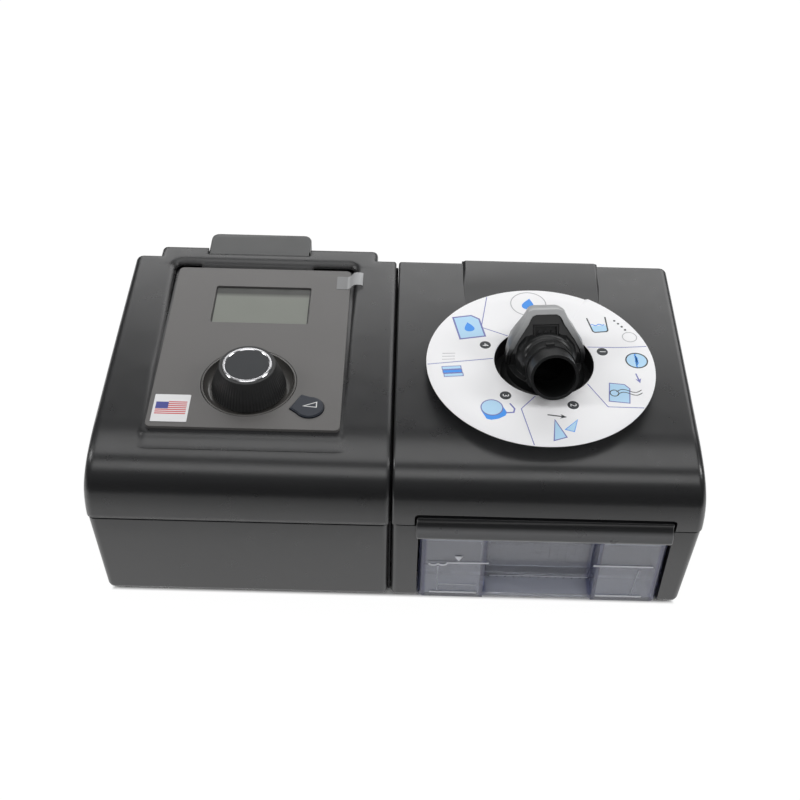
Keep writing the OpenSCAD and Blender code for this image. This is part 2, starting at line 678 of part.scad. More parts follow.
// Humidifier, base
module humidifier_base() color(charcoal) place() difference() {
  union() {
    mirrored() lower_form(hum_w);
    // Hinge block at the back, with an ear at each end
    box(block_x0, block_y0, part_z - 1, block_x1, case_d - 0.1, hinge_z - ear_r - 2.6);
    for (x = [block_x0, block_x1 - ear_w]) {
      rod_x(x, x + ear_w, hinge_y, hinge_z, ear_r);
      box(x, hinge_y - ear_r, hinge_z - ear_r - 3, x + ear_w, hinge_y + ear_r, hinge_z);
    }
  }
  // Tank bay, open at the front and the top
  box(bay_x0, -20, bay_floor, bay_x1, bay_y1, part_z + 1);
  box(bay_x0, -20, 0, bay_x1, step_y, part_z);
  // Service space behind the bay, open below
  box(14, bay_y1 + 2.6, foot_h + 1.9, hum_w - 16, case_d - wall, part_z - 6);
  box(12, bay_y1 + 1.4, 0, hum_w - 14, case_d - 1.4, foot_h + 2);
  // Air way from the unit to the bay
  rod_x(-1, bay_x0 + 1, duct_y, duct_z, duct_bore);
  rod_x(-1, coupling_end, duct_y, duct_z, duct_r + run_gap);
  for (y = hook_y) box(0, y - 6.3, hook_z - 3.3, seam_gap / 2 + 3.3, y + 6.3, hook_z + 1.7);
  rod_x(block_x0 - 1, block_x1 + 1, hinge_y, hinge_z, pin_r + run_gap);
  at_each(hum_foot_x, hum_foot_y) upright(0, foot_h + foot_in, hum_foot_r);
}
module hinge_pin() color("silver") place()
  rod_x(block_x0 + 0.5, block_x1 - 0.5, hinge_y, hinge_z, pin_r);
module heater_pad() color("#c9b8a0") place()
  slab(rounded(bay_x - 40, plate_y - 35, bay_x + 40, plate_y + 35, 4), bay_floor, pad_h);
module heater_plate() color("silver") place()
  slab(rounded(bay_x - plate_w / 2 + 1, plate_y - plate_l / 2 + 1, bay_x + plate_w / 2 - 1,
    plate_y + plate_l / 2 - 1, 4), bay_floor + pad_h, plate_h);
module service_cover() color("#3b3d3f") place()
  box(12 + fit_gap, bay_y1 + 1.4 + fit_gap, foot_h, hum_w - 14 - fit_gap, case_d - 1.4 - fit_gap,
    foot_h + 2);
module heater_board() color("darkgreen") place() {
  box(30, case_d - 8, foot_h + 2, 110, case_d - 8 + board_t, 34);
  for (i = [0:3]) box(40 + 16 * i, case_d - 11, 12, 48 + 16 * i, case_d - 8 + eps, 22);
}

// Humidifier, lid
// Hump over the hinge: it grows out of the crown towards the back
function hump_ring(y, rise, g) = let (z = crown_z(y))
  [[hump_x0 + g, y, z - 2], [hump_x0 + g, y, z - 0.4], [hump_x0 + g + 1.8, y, z + rise],
   [hump_x1 - g - 1.8, y, z + rise], [hump_x1 - g, y, z - 0.4], [hump_x1 - g, y, z - 2]];
hump_rings = [hump_ring(case_d - 46, -0.2, 1), hump_ring(case_d - 22, hump_h * 0.5, 0),
  hump_ring(case_d - 2.6, hump_h, 0), hump_ring(case_d - 0.8, hump_h - 0.7, 0),
  hump_ring(case_d - eps, -0.3, 0)];

module lid_shell() color(charcoal) place() difference() {
  union() {
    difference() {
      union() {
        mirrored() upper_form(hum_w, 0, -lid_gap);
        loft(hump_rings);
      }
      mirrored() upper_form(hum_w, wall, 1);
    }
    // Knuckles on the hinge pin
    for (x = knuckle_x) {
      rod_x(x, x + knuckle_w, hinge_y, hinge_z, ear_r);
      box(x, hinge_y - ear_r, hinge_z, x + knuckle_w, hinge_y + 1, top_z - 2);
    }
    intersection() {
      at_each(lid_post_x, lid_post_y) upright(liner_z + liner_t, top_z, 3.6);
      mirrored() upper_form(hum_w, wall / 2, 0);
    }
    rod(port_x, port_y, deck_z - 4.2, deck_z - 1, collar_r + 2);
  }
  box(block_x0 - 0.8, block_y0, 0, block_x1 + 0.8, case_d + 10, hinge_z - ear_r);
  for (x = [block_x0, block_x1 - ear_w])
    box(x - 0.8, block_y0, 0, x + ear_w + 0.8, case_d + 10, hinge_z + ear_r + 0.8);
  // Notch for the lip bar, its upper corners rounded
  translate([0, 4, 0]) rotate([90, 0, 0]) linear_extrude(20)
    polygon(rounded(lip_x0 - 0.8, 0, lip_x1 + 0.8, notch_z, 2.2));
  rod(port_x, port_y, deck_z - 10, deck_z + 10, collar_sleeve);
  rod(port_x, port_y, collar_seat, deck_z + 10, collar_r + fit_gap);
  at_each(lid_post_x, lid_post_y) upright(liner_z, liner_z + 12, 1.25);
  rod_x(block_x0, block_x1, hinge_y, hinge_z, pin_r + run_gap);
}

// Lip bar: hollow above and rolled below, with a tongue behind the front
lip_roll = 1.9;
lip_back = -front_out - 0.5;
function lip_view(s) = concat(
  [[0.6, part_z + lid_gap], [lip_back, part_z + lid_gap], [lip_back, lip_low + s]],
  [for (a = [-90:-18:-198]) [-lip_out + lip_roll, lip_low + lip_roll] + (lip_roll - s) * [cos(a), sin(a)]],
  [for (k = [[0.7, 0.4], [1.9, 0.52], [3, 0.66], [3.5, 0.8], [3.3, 0.92]])
    [-lip_out + k[0] + s, lip_low + k[1] * lip_h]],
  [[-lip_out + 3.7 + s, lip_top - s], [0.6, lip_top - s]]);
function backwards(v) = [for (i = [len(v) - 1:-1:0]) v[i]];
module lid_lip() color(charcoal) place() {
  ends = [[0, 0.9], [0.35, 0.3], [0.9, 0]];
  loft(concat(
    [for (k = ends) at_side(backwards(lip_view(k[1])), lip_x0 + k[0])],
    [for (k = backwards(ends)) at_side(backwards(lip_view(k[1])), lip_x1 - k[0])]));
  // Tongue that holds the bar to the inside of the front
  box(lip_x0 + 3, -nose_out + wall + lean + fit_gap, lip_top - 5, lip_x1 - 3, 3.4, nose_z - 2);
}

module lid_liner() color("#3f4244") place() difference() {
  union() {
    slab(rounded(seam_gap / 2 + wall + fit_gap, step_y, hum_w - wall - side_x(liner_z) - 2 * fit_gap,
      block_y0 - 6, 3), liner_z, liner_t);
    slab(rounded(6, 4.5, hum_w - 8, step_y + 4, 1.5), liner_z, liner_t);
    rod(port_x, port_y, tank_top + 2.4, collar_low - 2.6, neck_bore + 4.5);
    for (a = [0:60:300]) translate([port_x, port_y, liner_z]) rotate(a)
      translate([neck_bore + 4, -1, 0]) cube([14, 2, 12]);
  }
  rod(port_x, port_y, tank_top, collar_low, neck_bore);
  at_each(lid_post_x, lid_post_y) upright(liner_z - 1, liner_z + 3, 1.6);
}
module lid_screws() color("silver") place() at_each(lid_post_x, lid_post_y) {
  upright(liner_z - 1.2, liner_z, 2.8);
  upright(liner_z - eps, liner_z + 8, 1.25);
}
module lid_seal() color("#8e9194") place() difference() {
  rod(port_x, port_y, tank_top + 0.4, tank_top + 2.4, neck_bore + 4);
  rod(port_x, port_y, tank_top, tank_top + 4, neck_bore + 0.5);
}

// Swivel outlet
module at_port(z = 0) { translate([port_x, port_y, z]) children(); }
module turned() { at_port() rotate(port_turn) children(); }
module tilted() { turned() translate([0, 0, turn_z]) rotate([90 - port_rise, 0, 0]) children(); }

module outlet_collar() color(dark) place() at_port() difference() {
  union() {
    rotate_extrude($fn = 96) polygon([[collar_bore, collar_low], [collar_sleeve - fit_gap, collar_low],
      [collar_sleeve - fit_gap, collar_seat], [collar_r, collar_seat], [collar_r, collar_top - 0.8],
      [collar_r - 0.8, collar_top], [collar_bore, collar_top]]);
    upright(collar_low, collar_floor, collar_bore + eps);
  }
  upright(collar_low - 1, collar_floor + 1, neck_r + run_gap);
}

// Swivelling elbow: neck, drum, tilted bell and hose port
drum_z = collar_floor + fit_gap;
neck_z = collar_low - 2.4;
// Section of the hood: a narrow rounded top on a flared foot
function arch(wb, wt, h, z0) = let (d = wb - wt, side = [[wb, z0], [wb, turn_z + 0.12 * h],
    [wb - 0.12 * d, turn_z + 0.32 * h], [wb - 0.38 * d, turn_z + 0.5 * h],
    [wb - 0.68 * d, turn_z + 0.66 * h], [wb - 0.9 * d, turn_z + 0.8 * h],
    [wt, turn_z + 0.9 * h], [0.88 * wt, turn_z + 0.965 * h], [0.64 * wt, turn_z + h]])
  concat(side, [for (i = [len(side) - 1:-1:0]) [-side[i][0], side[i][1]]]);
// Depth behind the swivel axis, half widths of foot and top, and height above turn_z
hood_front = -2;
hood_plan = [[17.5, 9.5, 6, 14], [15.8, 13, 8, 18.5], [11, 16.6, 9.2, 21], [4, 18.7, 9.8, 21.5],
  [hood_front, 18.9, 10.2, 20.5]];
module hood_form(g, z0) {
  turned() loft([for (k = hood_plan) at_depth(arch(k[1] - g, k[2] - g, k[3] - g, z0),
    k[0] > hood_front ? k[0] * (1 - g / 17.5) : k[0] - g / 8)]);
}
// Slanted face of the hood, and what lies in front of it, set back by g
face_lean = 37;
module in_face() {
  turned() translate([0, 1.6, turn_z + 11]) rotate([-face_lean, 0, 0]) children();
}
module before_face(g) { in_face() translate([-30, -60 + g, -60]) cube([60, 60, 120]); }
hood_wall = 2;
socket_w = 12.4;
socket_l = 7;
module elbow_body() color(dark) place() difference() {
  union() {
    at_port() rotate_extrude($fn = 96) polygon([[0, neck_z], [neck_r, neck_z], [neck_r, drum_z],
      [20.4, drum_z], [20.4, drum_z + 3], [19.6, drum_z + 3.8], [body_r, drum_z + 5],
      [body_r, hood_z - fit_gap], [drum_r, hood_z - fit_gap], [drum_r, turn_z + 3],
      [drum_r - 1.6, turn_z + 7], [drum_r - 5, turn_z + 10.4], [0, turn_z + 12]]);
    difference() {
      hood_form(hood_wall + fit_gap, hood_z - 1);
      before_face(1.2);
    }
    tilted() rotate_extrude($fn = 96) polygon([[0, 0], [bell_r, 0], [bell_r, 6.4],
      [bell_r - 0.3, 8], [bell_r - 1, 9], [bell_r - 1.8, 9.4], [0, 9.4]]);
    tilted() cylinder(r = port_d / 2, h = port_reach, $fn = 96);
    // Ring with three lugs that holds the hose's cuff
    tilted() translate([0, 0, 17]) {
      cylinder(r = port_d / 2 + 0.7, h = 1.6, $fn = 96);
      for (a = [0:120:240]) rotate(a - 26) translate([port_d / 2 - 1, -2, 0]) cube([2.6, 4, 1.6]);
    }
  }
  at_port() upright(neck_z - 1, turn_z + 2, neck_bore);
  tilted() cylinder(r = port_bore / 2, h = port_reach + 1, $fn = 96);
  // Recess that takes the socket of a heated hose
  in_face() translate([-socket_w / 2, -3, -1.6]) cube([socket_w, 8.6, socket_l]);
}

module elbow_hood() color("#5a5d5f") place() difference() {
  hood_form(0, hood_z);
  hood_form(hood_wall, hood_z - 1);
  before_face(0);
  tilted() cylinder(r = bell_r + fit_gap, h = 20, $fn = 96);
}
module hose_socket() color("#151618") place() in_face() {
  difference() {
    translate([-socket_w / 2 + 0.2, 1.4, -1.4]) cube([socket_w - 0.4, 4, socket_l - 0.4]);
    translate([-socket_w / 2 + 1, 0.4, -0.6]) cube([socket_w - 2, 3.4, socket_l - 2]);
  }
  for (x = [-3.2:3.2:3.2]) translate([x - 0.6, 2.4, 1.3]) cube([1.2, 2, 1.2]);
}
module retaining_ring() color("#6d7073") place() at_port() difference() {
  upright(collar_low - 2.2, collar_low - 0.4, neck_r + 3);
  upright(collar_low - 3, collar_low, neck_r);
}
slit_angle = 62;
card_shift = [-1.7, -1.5, 0];
module instruction_card() color("white") place() at_port(card_z) difference() {
  translate(card_shift) cylinder(r = card_d / 2, h = card_t, $fn = 120);
  translate([0, 0, -1]) cylinder(r = collar_bore, h = card_t + 2, $fn = 96);
  rotate(slit_angle) translate([0, -0.3, -1]) cube([card_d, 0.6, card_t + 2]);
}

// Water tank
grip_x = 73.4;
grip_back = tank_y0 + grip_d;
mark_z = 29.4;
module tank_plan(t) difference() {
  polygon(rounded(tank_x0 + t, tank_y0 + t, tank_x1 - t, tank_y1 - t, max(3.5 - t, 0.5)));
  polygon(rounded(grip_x - grip_w / 2 - t, -20, grip_x + grip_w / 2 + t, grip_back + t, 1.5));
}
module tank_slab(t, z0, z1) { translate([0, 0, z0]) linear_extrude(z1 - z0) tank_plan(t); }
module tank_front(t, z0, z1, y1) {
  intersection() {
    tank_slab(t, z0, z1);
    box(tank_x0 - 1, tank_y0 - 1, z0 - 1, tank_x1 + 1, y1, z1 + 1);
  }
}
rib_pitch = 4.2;
module tank_base() color("#aeb6cc", 0.45) place() difference() {
  union() {
    tank_slab(0, tank_z, tank_rim);
    tank_front(0, tank_low, tank_top, step_y - tank_gap);
    // Ledge of the grip recess
    box(grip_x - grip_w / 2 - 1, tank_y0 + 1.2, tank_low, grip_x + grip_w / 2 + 1, grip_back + 1,
      tank_low + 2.6);
    for (x = [grip_x - grip_w / 2 + 3:rib_pitch:grip_x + grip_w / 2 - 3])
      box(x, grip_back - 0.6, tank_low + 2, x + 1, grip_back + 0.2, tank_rim);
    // Moulded fill marks
    box(18.7, tank_y0 - 0.4, mark_z, grip_x - grip_w / 2 + 0.4, tank_y0 + 0.5, mark_z + 0.8);
    box(grip_x + grip_w / 2 - 0.4, tank_y0 - 0.4, mark_z, 127.8, tank_y0 + 0.5, mark_z + 0.8);
  }
  tank_slab(tank_wall, tank_z + 2, tank_rim + 1);
  tank_front(tank_wall, tank_low + 2, tank_top + 1, step_y - tank_gap - tank_wall);
  slab(rounded(bay_x - plate_w / 2, plate_y - plate_l / 2, bay_x + plate_w / 2,
    plate_y + plate_l / 2, 4), tank_z - 1, 5);
  rod_x(tank_x0 - 1, tank_x0 + tank_wall + 1, duct_y, duct_z - 1, inlet_r);
  box(tank_x0 - 1, tank_y0 + tank_wall, tank_rim, tank_x1 + 1, tank_y1 + 1, tank_top + 1);
}
module tank_plate() color("silver") place()
  slab(rounded(bay_x - plate_w / 2, plate_y - plate_l / 2, bay_x + plate_w / 2,
    plate_y + plate_l / 2, 4), tank_z, plate_t);
module tank_seal() color("#c6c9cf") place() difference() {
  tank_slab(tank_wall + fit_gap, tank_rim, tank_rim + gasket_h);
  tank_slab(tank_wall + 2.4, tank_rim - 1, tank_rim + 2);
}
module tank_lid() color("#9aa2bb", 0.45) place() difference() {
  union() {
    tank_slab(tank_wall + fit_gap, tank_rim + gasket_h, tank_rim + gasket_h + 2);
    tank_slab(tank_wall + 6, tank_rim + gasket_h, tank_top - 0.6);
    rod(port_x, port_y, tank_rim + 2, tank_top, neck_bore + 4);
  }
  tank_slab(tank_wall + 8, tank_rim, tank_top - 2.6);
  rod(port_x, port_y, tank_rim - 1, tank_top + 1, neck_bore);
}

unit_base();
unit_top();
panel_plate();
display_lens();
display_module();
dial_dish();
control_wheel();
wheel_ring();
wheel_cap();
encoder_shaft();
encoder_body();
ramp_button();
ramp_switch();
main_board();
blower_base();
blower_cover();
impeller();
rotor_shaft();
motor();
blower_mounts();
outlet_duct();
intake_foam();
filter_foam();
filter_cover();
power_inlet();
power_board();
accessory_module();
air_coupling();
dock_hooks();
rubber_feet();
case_screws();
panel_film();
panel_sticker();
humidifier_base();
hinge_pin();
heater_pad();
heater_plate();
service_cover();
heater_board();
lid_shell();
lid_lip();
lid_liner();
lid_screws();
lid_seal();
outlet_collar();
elbow_body();
elbow_hood();
hose_socket();
retaining_ring();
instruction_card();
tank_base();
tank_lid();
tank_seal();
tank_plate();
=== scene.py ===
"""Looks of a bilevel airway pressure unit with its docked heated humidifier.

The solids come from the frame. This file gives them their finishes, adds the printed and
transparent details, and sets the studio and the camera.
"""

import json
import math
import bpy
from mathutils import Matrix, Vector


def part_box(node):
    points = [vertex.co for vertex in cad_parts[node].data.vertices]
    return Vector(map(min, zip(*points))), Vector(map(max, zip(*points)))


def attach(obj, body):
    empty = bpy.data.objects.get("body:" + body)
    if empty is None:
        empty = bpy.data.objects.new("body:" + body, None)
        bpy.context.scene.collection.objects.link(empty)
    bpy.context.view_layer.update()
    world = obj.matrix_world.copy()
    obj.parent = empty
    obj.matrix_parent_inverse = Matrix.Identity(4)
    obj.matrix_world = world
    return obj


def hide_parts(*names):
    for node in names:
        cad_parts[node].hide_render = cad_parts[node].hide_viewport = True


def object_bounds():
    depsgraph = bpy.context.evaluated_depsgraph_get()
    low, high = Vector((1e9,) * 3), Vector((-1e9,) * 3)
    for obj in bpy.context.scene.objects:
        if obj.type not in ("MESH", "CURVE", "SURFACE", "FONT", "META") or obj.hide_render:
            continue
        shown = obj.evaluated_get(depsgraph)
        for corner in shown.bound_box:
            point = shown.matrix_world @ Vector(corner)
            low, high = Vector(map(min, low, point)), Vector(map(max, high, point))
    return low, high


bl_info = {
    "name": "Airway pressure unit looks",
    "version": (1, 0, 0),
    "blender": (4, 5, 0),
    "location": "View3D > Sidebar > Airway unit",
    "description": "Dresses the solids of an airway pressure unit and its humidifier",
    "category": "Object",
}

import bpy
from bpy.props import FloatProperty, FloatVectorProperty, PointerProperty
from mathutils import Matrix, Vector

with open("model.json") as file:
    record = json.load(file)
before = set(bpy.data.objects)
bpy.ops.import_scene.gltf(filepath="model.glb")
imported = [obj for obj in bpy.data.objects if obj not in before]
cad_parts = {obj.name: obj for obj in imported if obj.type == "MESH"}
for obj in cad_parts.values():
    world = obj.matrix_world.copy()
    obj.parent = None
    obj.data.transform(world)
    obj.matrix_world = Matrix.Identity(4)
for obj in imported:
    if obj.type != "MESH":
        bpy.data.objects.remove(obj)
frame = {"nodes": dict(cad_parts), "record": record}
CAD_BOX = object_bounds()
MM = 0.001
DATUM = (-1.9, -79.35)  # the drawing's origin, at the front of the seam, in mm of the frame
PRINT = 0.02  # thickness of the print on the panel, in mm
NODE_BODY = {n: b for b, ns in frame["record"]["behaviour"]["bodies"].items() for n in ns}


def colour(name, default, text):
    """A colour that a user may change."""
    return FloatVectorProperty(name=name, description=text, default=default, subtype="COLOR",
                               size=3, min=0, max=1)


def share(name, default, text):
    """A number from 0 to 1 that a user may change."""
    return FloatProperty(name=name, description=text, default=default, min=0, max=1,
                         subtype="FACTOR")


def length(name, default, text):
    """A length in metres that a user may change."""
    return FloatProperty(name=name, description=text, default=default, min=0, unit="LENGTH")


class CaseFinish(bpy.types.PropertyGroup):
    charcoal: colour("Charcoal", (0.019, 0.0194, 0.0206), "Colour of the moulded cases")
    accessory: colour("Accessory", (0.026, 0.028, 0.028), "Colour of the accessory module")
    dark: colour("Dark plastic", (0.011, 0.0114, 0.0118), "Colour of the elbow and its collar")
    hood: colour("Hood", (0.46, 0.468, 0.473), "Colour of the elbow's hood")
    # Painted shade: the hood's sides are darker than its crown, by how the light falls
    hood_side_painted_shade: colour("Hood side", (0.16, 0.163, 0.167), "Colour half way up the hood")
    sheen: share("Roughness", 0.29, "Roughness of the satin cases")
    gloss: share("Gloss", 0.8, "Strength of the reflections on the satin cases")
    # Painted reflection: the lighter lower roll of the lip bar stands for the floor reflected in
    # it
    lip: colour("Lip", (0.15, 0.152, 0.156), "Colour of the lower part of the lid's lip bar")
    grain: length("Grain", 0.35 * MM, "Size of the moulded grain")
    cove: length("Cove", 3 * MM, "Softness of the edges round the control panel")


class PanelFinish(bpy.types.PropertyGroup):
    plate: colour("Plate", (0.13, 0.126, 0.123), "Colour of the control panel")
    glass: colour("Display", (0.25, 0.265, 0.232), "Colour of the empty display")
    wheel: colour("Wheel", (0.024, 0.0244, 0.025), "Colour of the control wheel")
    cap: colour("Cap", (0.018, 0.021, 0.025), "Colour of the wheel's cap")
    button: colour("Ramp button", (0.014, 0.019, 0.031), "Colour of the ramp button")
    dish: colour("Dish", (0.1, 0.096, 0.091), "Colour of the dish round the wheel")
    # Painted shade: the display's far edge is darkened to this share of its colour, as if shadowed
    # by its recess
    shade: share("Shade", 0.18, "Brightness of the display's upper and lower edges")
    film: share("Film", 0.35, "Density of the protective film's tab")
    mark_width: length("Mark width", 0.45 * MM, "Width of the line printed on the ramp button")


class CardPrint(bpy.types.PropertyGroup):
    paper: colour("Paper", (0.95, 0.95, 0.965), "Colour of the card")
    dark: colour("Dark ink", (0.03, 0.035, 0.04), "Ink of the outlines and the number dots")
    blue: colour("Blue ink", (0.06, 0.33, 0.93), "Ink of the strong blue shapes")
    pale: colour("Pale ink", (0.5, 0.76, 0.98), "Ink of the light blue shapes")
    violet: colour("Divider ink", (0.2, 0.21, 0.5), "Ink of the dividing lines")
    grey: colour("Grey ink", (0.5, 0.5, 0.52), "Ink of the faint rings")
    line: length("Line", 0.55 * MM, "Width of the outlines")
    ink: length("Ink", 0.02 * MM, "Thickness of one layer of print")
    scale: FloatProperty(name="Scale", description="Size of the motifs", default=1.2, min=0.5)


class TankFinish(bpy.types.PropertyGroup):
    tint: colour("Tint", (0.76, 0.78, 0.85), "Tint of the clear tank")
    edge: colour("Edge", (0.4, 0.42, 0.6), "Tint of the tank's walls seen along their length")
    # Painted highlight: this colour also paints the bright strips low in the tank's pockets
    mark: colour("Mark", (0.76, 0.77, 0.82), "Colour of the moulded fill marks")
    rough: share("Roughness", 0.05, "Roughness of the clear tank")
    haze: share("Haze", 0.15, "Share of light that the tank's plastic scatters")


class Studio(bpy.types.PropertyGroup):
    eye: FloatVectorProperty(name="Camera", description="Place of the camera", size=3,
                             default=(0.00231, -0.45855, 0.5093), subtype="TRANSLATION")
    pitch: FloatProperty(name="Pitch", description="Angle that the camera looks down",
                         default=math.radians(44.52), subtype="ANGLE")
    yaw: FloatProperty(name="Yaw", description="Turn of the camera to the left",
                       default=math.radians(0.145), subtype="ANGLE")
    roll: FloatProperty(name="Roll", description="Roll of the camera",
                        default=math.radians(1.348), subtype="ANGLE")
    lens: FloatProperty(name="Lens", description="Focal length in mm", default=56.2, min=10)
    ambient: share("Ambient", 0.1, "Brightness of the dim room round the lights")
    sheet: length("Sheet", 0.035, "How far the white sheet reaches in front of the unit")


def finish(group):
    """The scene's values of one group."""
    return getattr(bpy.context.scene, group)


# Selection and modelling


def deselect():
    """Leaves edit mode, with nothing selected."""
    if bpy.context.object and bpy.context.object.mode != "OBJECT":
        bpy.ops.object.mode_set(mode="OBJECT")
    bpy.ops.object.select_all(action="DESELECT")


def pick(piece):
    """Selects a piece alone and makes it active."""
    deselect()
    piece.select_set(True)
    bpy.context.view_layer.objects.active = piece


def apply_modifier(piece, kind, **settings):
    """Adds a modifier with its settings to a piece and applies it."""
    pick(piece)
    modifier = piece.modifiers.new(kind.title(), kind)
    for key, value in settings.items():
        setattr(modifier, key, value)
    bpy.ops.object.modifier_apply(modifier=modifier.name)


def settle(piece, name, body, material):
    """Names a new piece, puts its place in its mesh and lets it ride on its body."""
    pick(piece)
    bpy.ops.object.transform_apply(location=True, rotation=True, scale=True)
    piece.name = piece.data.name = name
    piece.data.materials.clear()
    piece.data.materials.append(material)
    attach(piece, body)


def smooth_copy(node, material, angle=32):
    """A merged and smooth-shaded copy of a solid, which it stands for."""
    source = frame["nodes"][node]
    piece = bpy.data.objects.new("finished_" + node, source.data.copy())
    bpy.context.scene.collection.objects.link(piece)
    pick(piece)
    bpy.ops.mesh.customdata_custom_splitnormals_clear()
    bpy.ops.object.mode_set(mode="EDIT")
    bpy.ops.mesh.select_all(action="SELECT")
    bpy.ops.mesh.remove_doubles(threshold=1e-6)
    bpy.ops.object.mode_set(mode="OBJECT")
    bpy.ops.object.shade_smooth_by_angle(angle=math.radians(angle))
    apply_modifier(piece, "WEIGHTED_NORMAL", keep_sharp=True, weight=100)
    piece.data.materials.clear()
    piece.data.materials.append(material)
    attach(piece, NODE_BODY[node])
    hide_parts(node)


def joined(pieces):
    """Joins pieces into the first of them."""
    deselect()
    for piece in pieces:
        piece.select_set(True)
    bpy.context.view_layer.objects.active = pieces[0]
    bpy.ops.object.join()
    return bpy.context.object


def drawn(x, y, z=0.0):
    """A point of the drawing, in mm from the front of the seam, in the frame's metres."""
    return Vector((x + DATUM[0], y + DATUM[1], z)) * MM


def undrawn(x, y):
    """A place in the frame's metres as a point of the drawing, in mm."""
    return x / MM - DATUM[0], y / MM - DATUM[1]


def put(points, place=(0, 0), turn=0.0, size=1.0):
    """Points turned by an angle in degrees and moved to a place."""
    c, s = size * math.cos(math.radians(turn)), size * math.sin(math.radians(turn))
    return [(place[0] + c * x - s * y, place[1] + s * x + c * y) for x, y in points]


def stroke(points, width, closed=False):
    """The outlines of a line of even width along points."""
    blunt = 0.4  # keeps the mitre of a sharp corner short
    count = len(points)
    line = [Vector(p) for p in points]
    left, right = [], []
    for i, point in enumerate(line):
        ways = []
        if i or closed:
            ways.append((point - line[i - 1]).normalized())
        if i < count - 1 or closed:
            ways.append((line[(i + 1) % count] - point).normalized())
        sides = [Vector((-way.y, way.x)) for way in ways]
        middle = sum(sides, Vector((0, 0))).normalized()
        reach = width / 2 / max(middle.dot(sides[0]), blunt)
        left.append(tuple(point + middle * reach))
        right.append(tuple(point - middle * reach))
    return [left, right] if closed else [left + right[::-1]]


def flat(loops, low, high):
    """A thin plate between two heights, all in mm, in which a loop inside another is a hole."""
    curve = bpy.data.curves.new("plate", "CURVE")
    curve.dimensions, curve.fill_mode = "2D", "BOTH"
    curve.extrude = (high - low) / 2
    for loop in loops:
        line = curve.splines.new("POLY")
        line.points.add(len(loop) - 1)
        for point, (x, y) in zip(line.points, loop):
            point.co = (x, y, 0, 1)
        line.use_cyclic_u = True
    plate = bpy.data.objects.new("plate", curve)
    bpy.context.scene.collection.objects.link(plate)
    return meshed(plate, Vector((DATUM[0], DATUM[1], (low + high) / 2)) * MM)


def meshed(plate, place, turn=(0, 0, 0)):
    """Makes a flat curve or a text drawn in mm a closed mesh at its place."""
    pick(plate)
    bpy.ops.object.convert(target="MESH")
    plate = bpy.context.object
    plate.scale = (MM, MM, MM)
    plate.location, plate.rotation_euler = place, turn
    bpy.ops.object.transform_apply(location=True, rotation=True, scale=True)
    bpy.ops.object.mode_set(mode="EDIT")
    bpy.ops.mesh.select_all(action="SELECT")
    bpy.ops.mesh.remove_doubles(threshold=1e-7)
    bpy.ops.mesh.normals_make_consistent(inside=False)
    bpy.ops.object.mode_set(mode="OBJECT")
    return plate


def circle(radius, count=48, place=(0, 0)):
    """The points of a circle."""
    turns = [2 * math.pi * i / count for i in range(count)]
    return [(place[0] + radius * math.cos(t), place[1] + radius * math.sin(t)) for t in turns]


# Materials

CLOUD, WORN, FLOW, WAVE = 35 * MM, 9 * MM, 14 * MM, 6 * MM  # width of the patches of each noise
GRAIN_DEPTH, WAVE_DEPTH = 0.02 * MM, 0.1 * MM


def shader(name):
    """A new material: its nodes, its links and its Principled shader."""
    material = bpy.data.materials.new(name)
    material.use_nodes = True
    tree = material.node_tree
    return material, tree.nodes, tree.links, tree.nodes["Principled BSDF"]


def maths(nodes, links, kind, first, second):
    """A Math node on two values, each a number or a socket."""
    step = nodes.new("ShaderNodeMath")
    step.operation = kind
    for value, socket in zip((first, second), step.inputs):
        if isinstance(value, (int, float)):
            socket.default_value = value
        else:
            links.new(value, socket)
    return step.outputs["Value"]


def noise(nodes, links, size, detail=3.0):
    """Noise on object coordinates whose patches are about size metres wide."""
    coords = nodes.get("Place") or nodes.new("ShaderNodeTexCoord")
    coords.name = "Place"
    texture = nodes.new("ShaderNodeTexNoise")
    texture.inputs["Scale"].default_value = 1 / size
    texture.inputs["Detail"].default_value = detail
    links.new(coords.outputs["Object"], texture.inputs["Vector"])
    return texture


def span(nodes, links, source, low, high):
    """Maps a 0 to 1 value to low to high."""
    ramp = nodes.new("ShaderNodeMapRange")
    ramp.inputs["To Min"].default_value = low
    ramp.inputs["To Max"].default_value = high
    links.new(source, ramp.inputs["Value"])
    return ramp.outputs["Result"]


def moulded(name, tone, rough=0.45, grain=0.35 * MM, relief=0.25, edge=0.35 * MM, shift=0.07,
            metallic=0.0, gloss=0.5):
    """Moulded plastic: a fine spark-eroded grain, faint cloudiness and softened edges."""
    material, nodes, links, body = shader(name)
    clouds = noise(nodes, links, CLOUD, 4).outputs["Fac"]
    tint = nodes.new("ShaderNodeMix")
    tint.data_type = "RGBA"
    tint.inputs["A"].default_value = [c * (1 - shift) for c in tone] + [1]
    tint.inputs["B"].default_value = [c * (1 + shift) for c in tone] + [1]
    links.new(clouds, tint.inputs["Factor"])
    links.new(tint.outputs["Result"], body.inputs["Base Color"])
    wear = noise(nodes, links, WORN, 5).outputs["Fac"]
    links.new(span(nodes, links, wear, rough - 0.05, rough + 0.05), body.inputs["Roughness"])
    body.inputs["Metallic"].default_value = metallic
    body.inputs["Specular IOR Level"].default_value = gloss
    bump = nodes.new("ShaderNodeBump")
    bump.inputs["Strength"].default_value = relief
    bump.inputs["Distance"].default_value = GRAIN_DEPTH
    links.new(noise(nodes, links, grain, 2).outputs["Fac"], bump.inputs["Height"])
    rounding = nodes.new("ShaderNodeBevel")
    rounding.samples = 6
    rounding.inputs["Radius"].default_value = edge
    links.new(rounding.outputs["Normal"], bump.inputs["Normal"])
    links.new(bump.outputs["Normal"], body.inputs["Normal"])
    return material


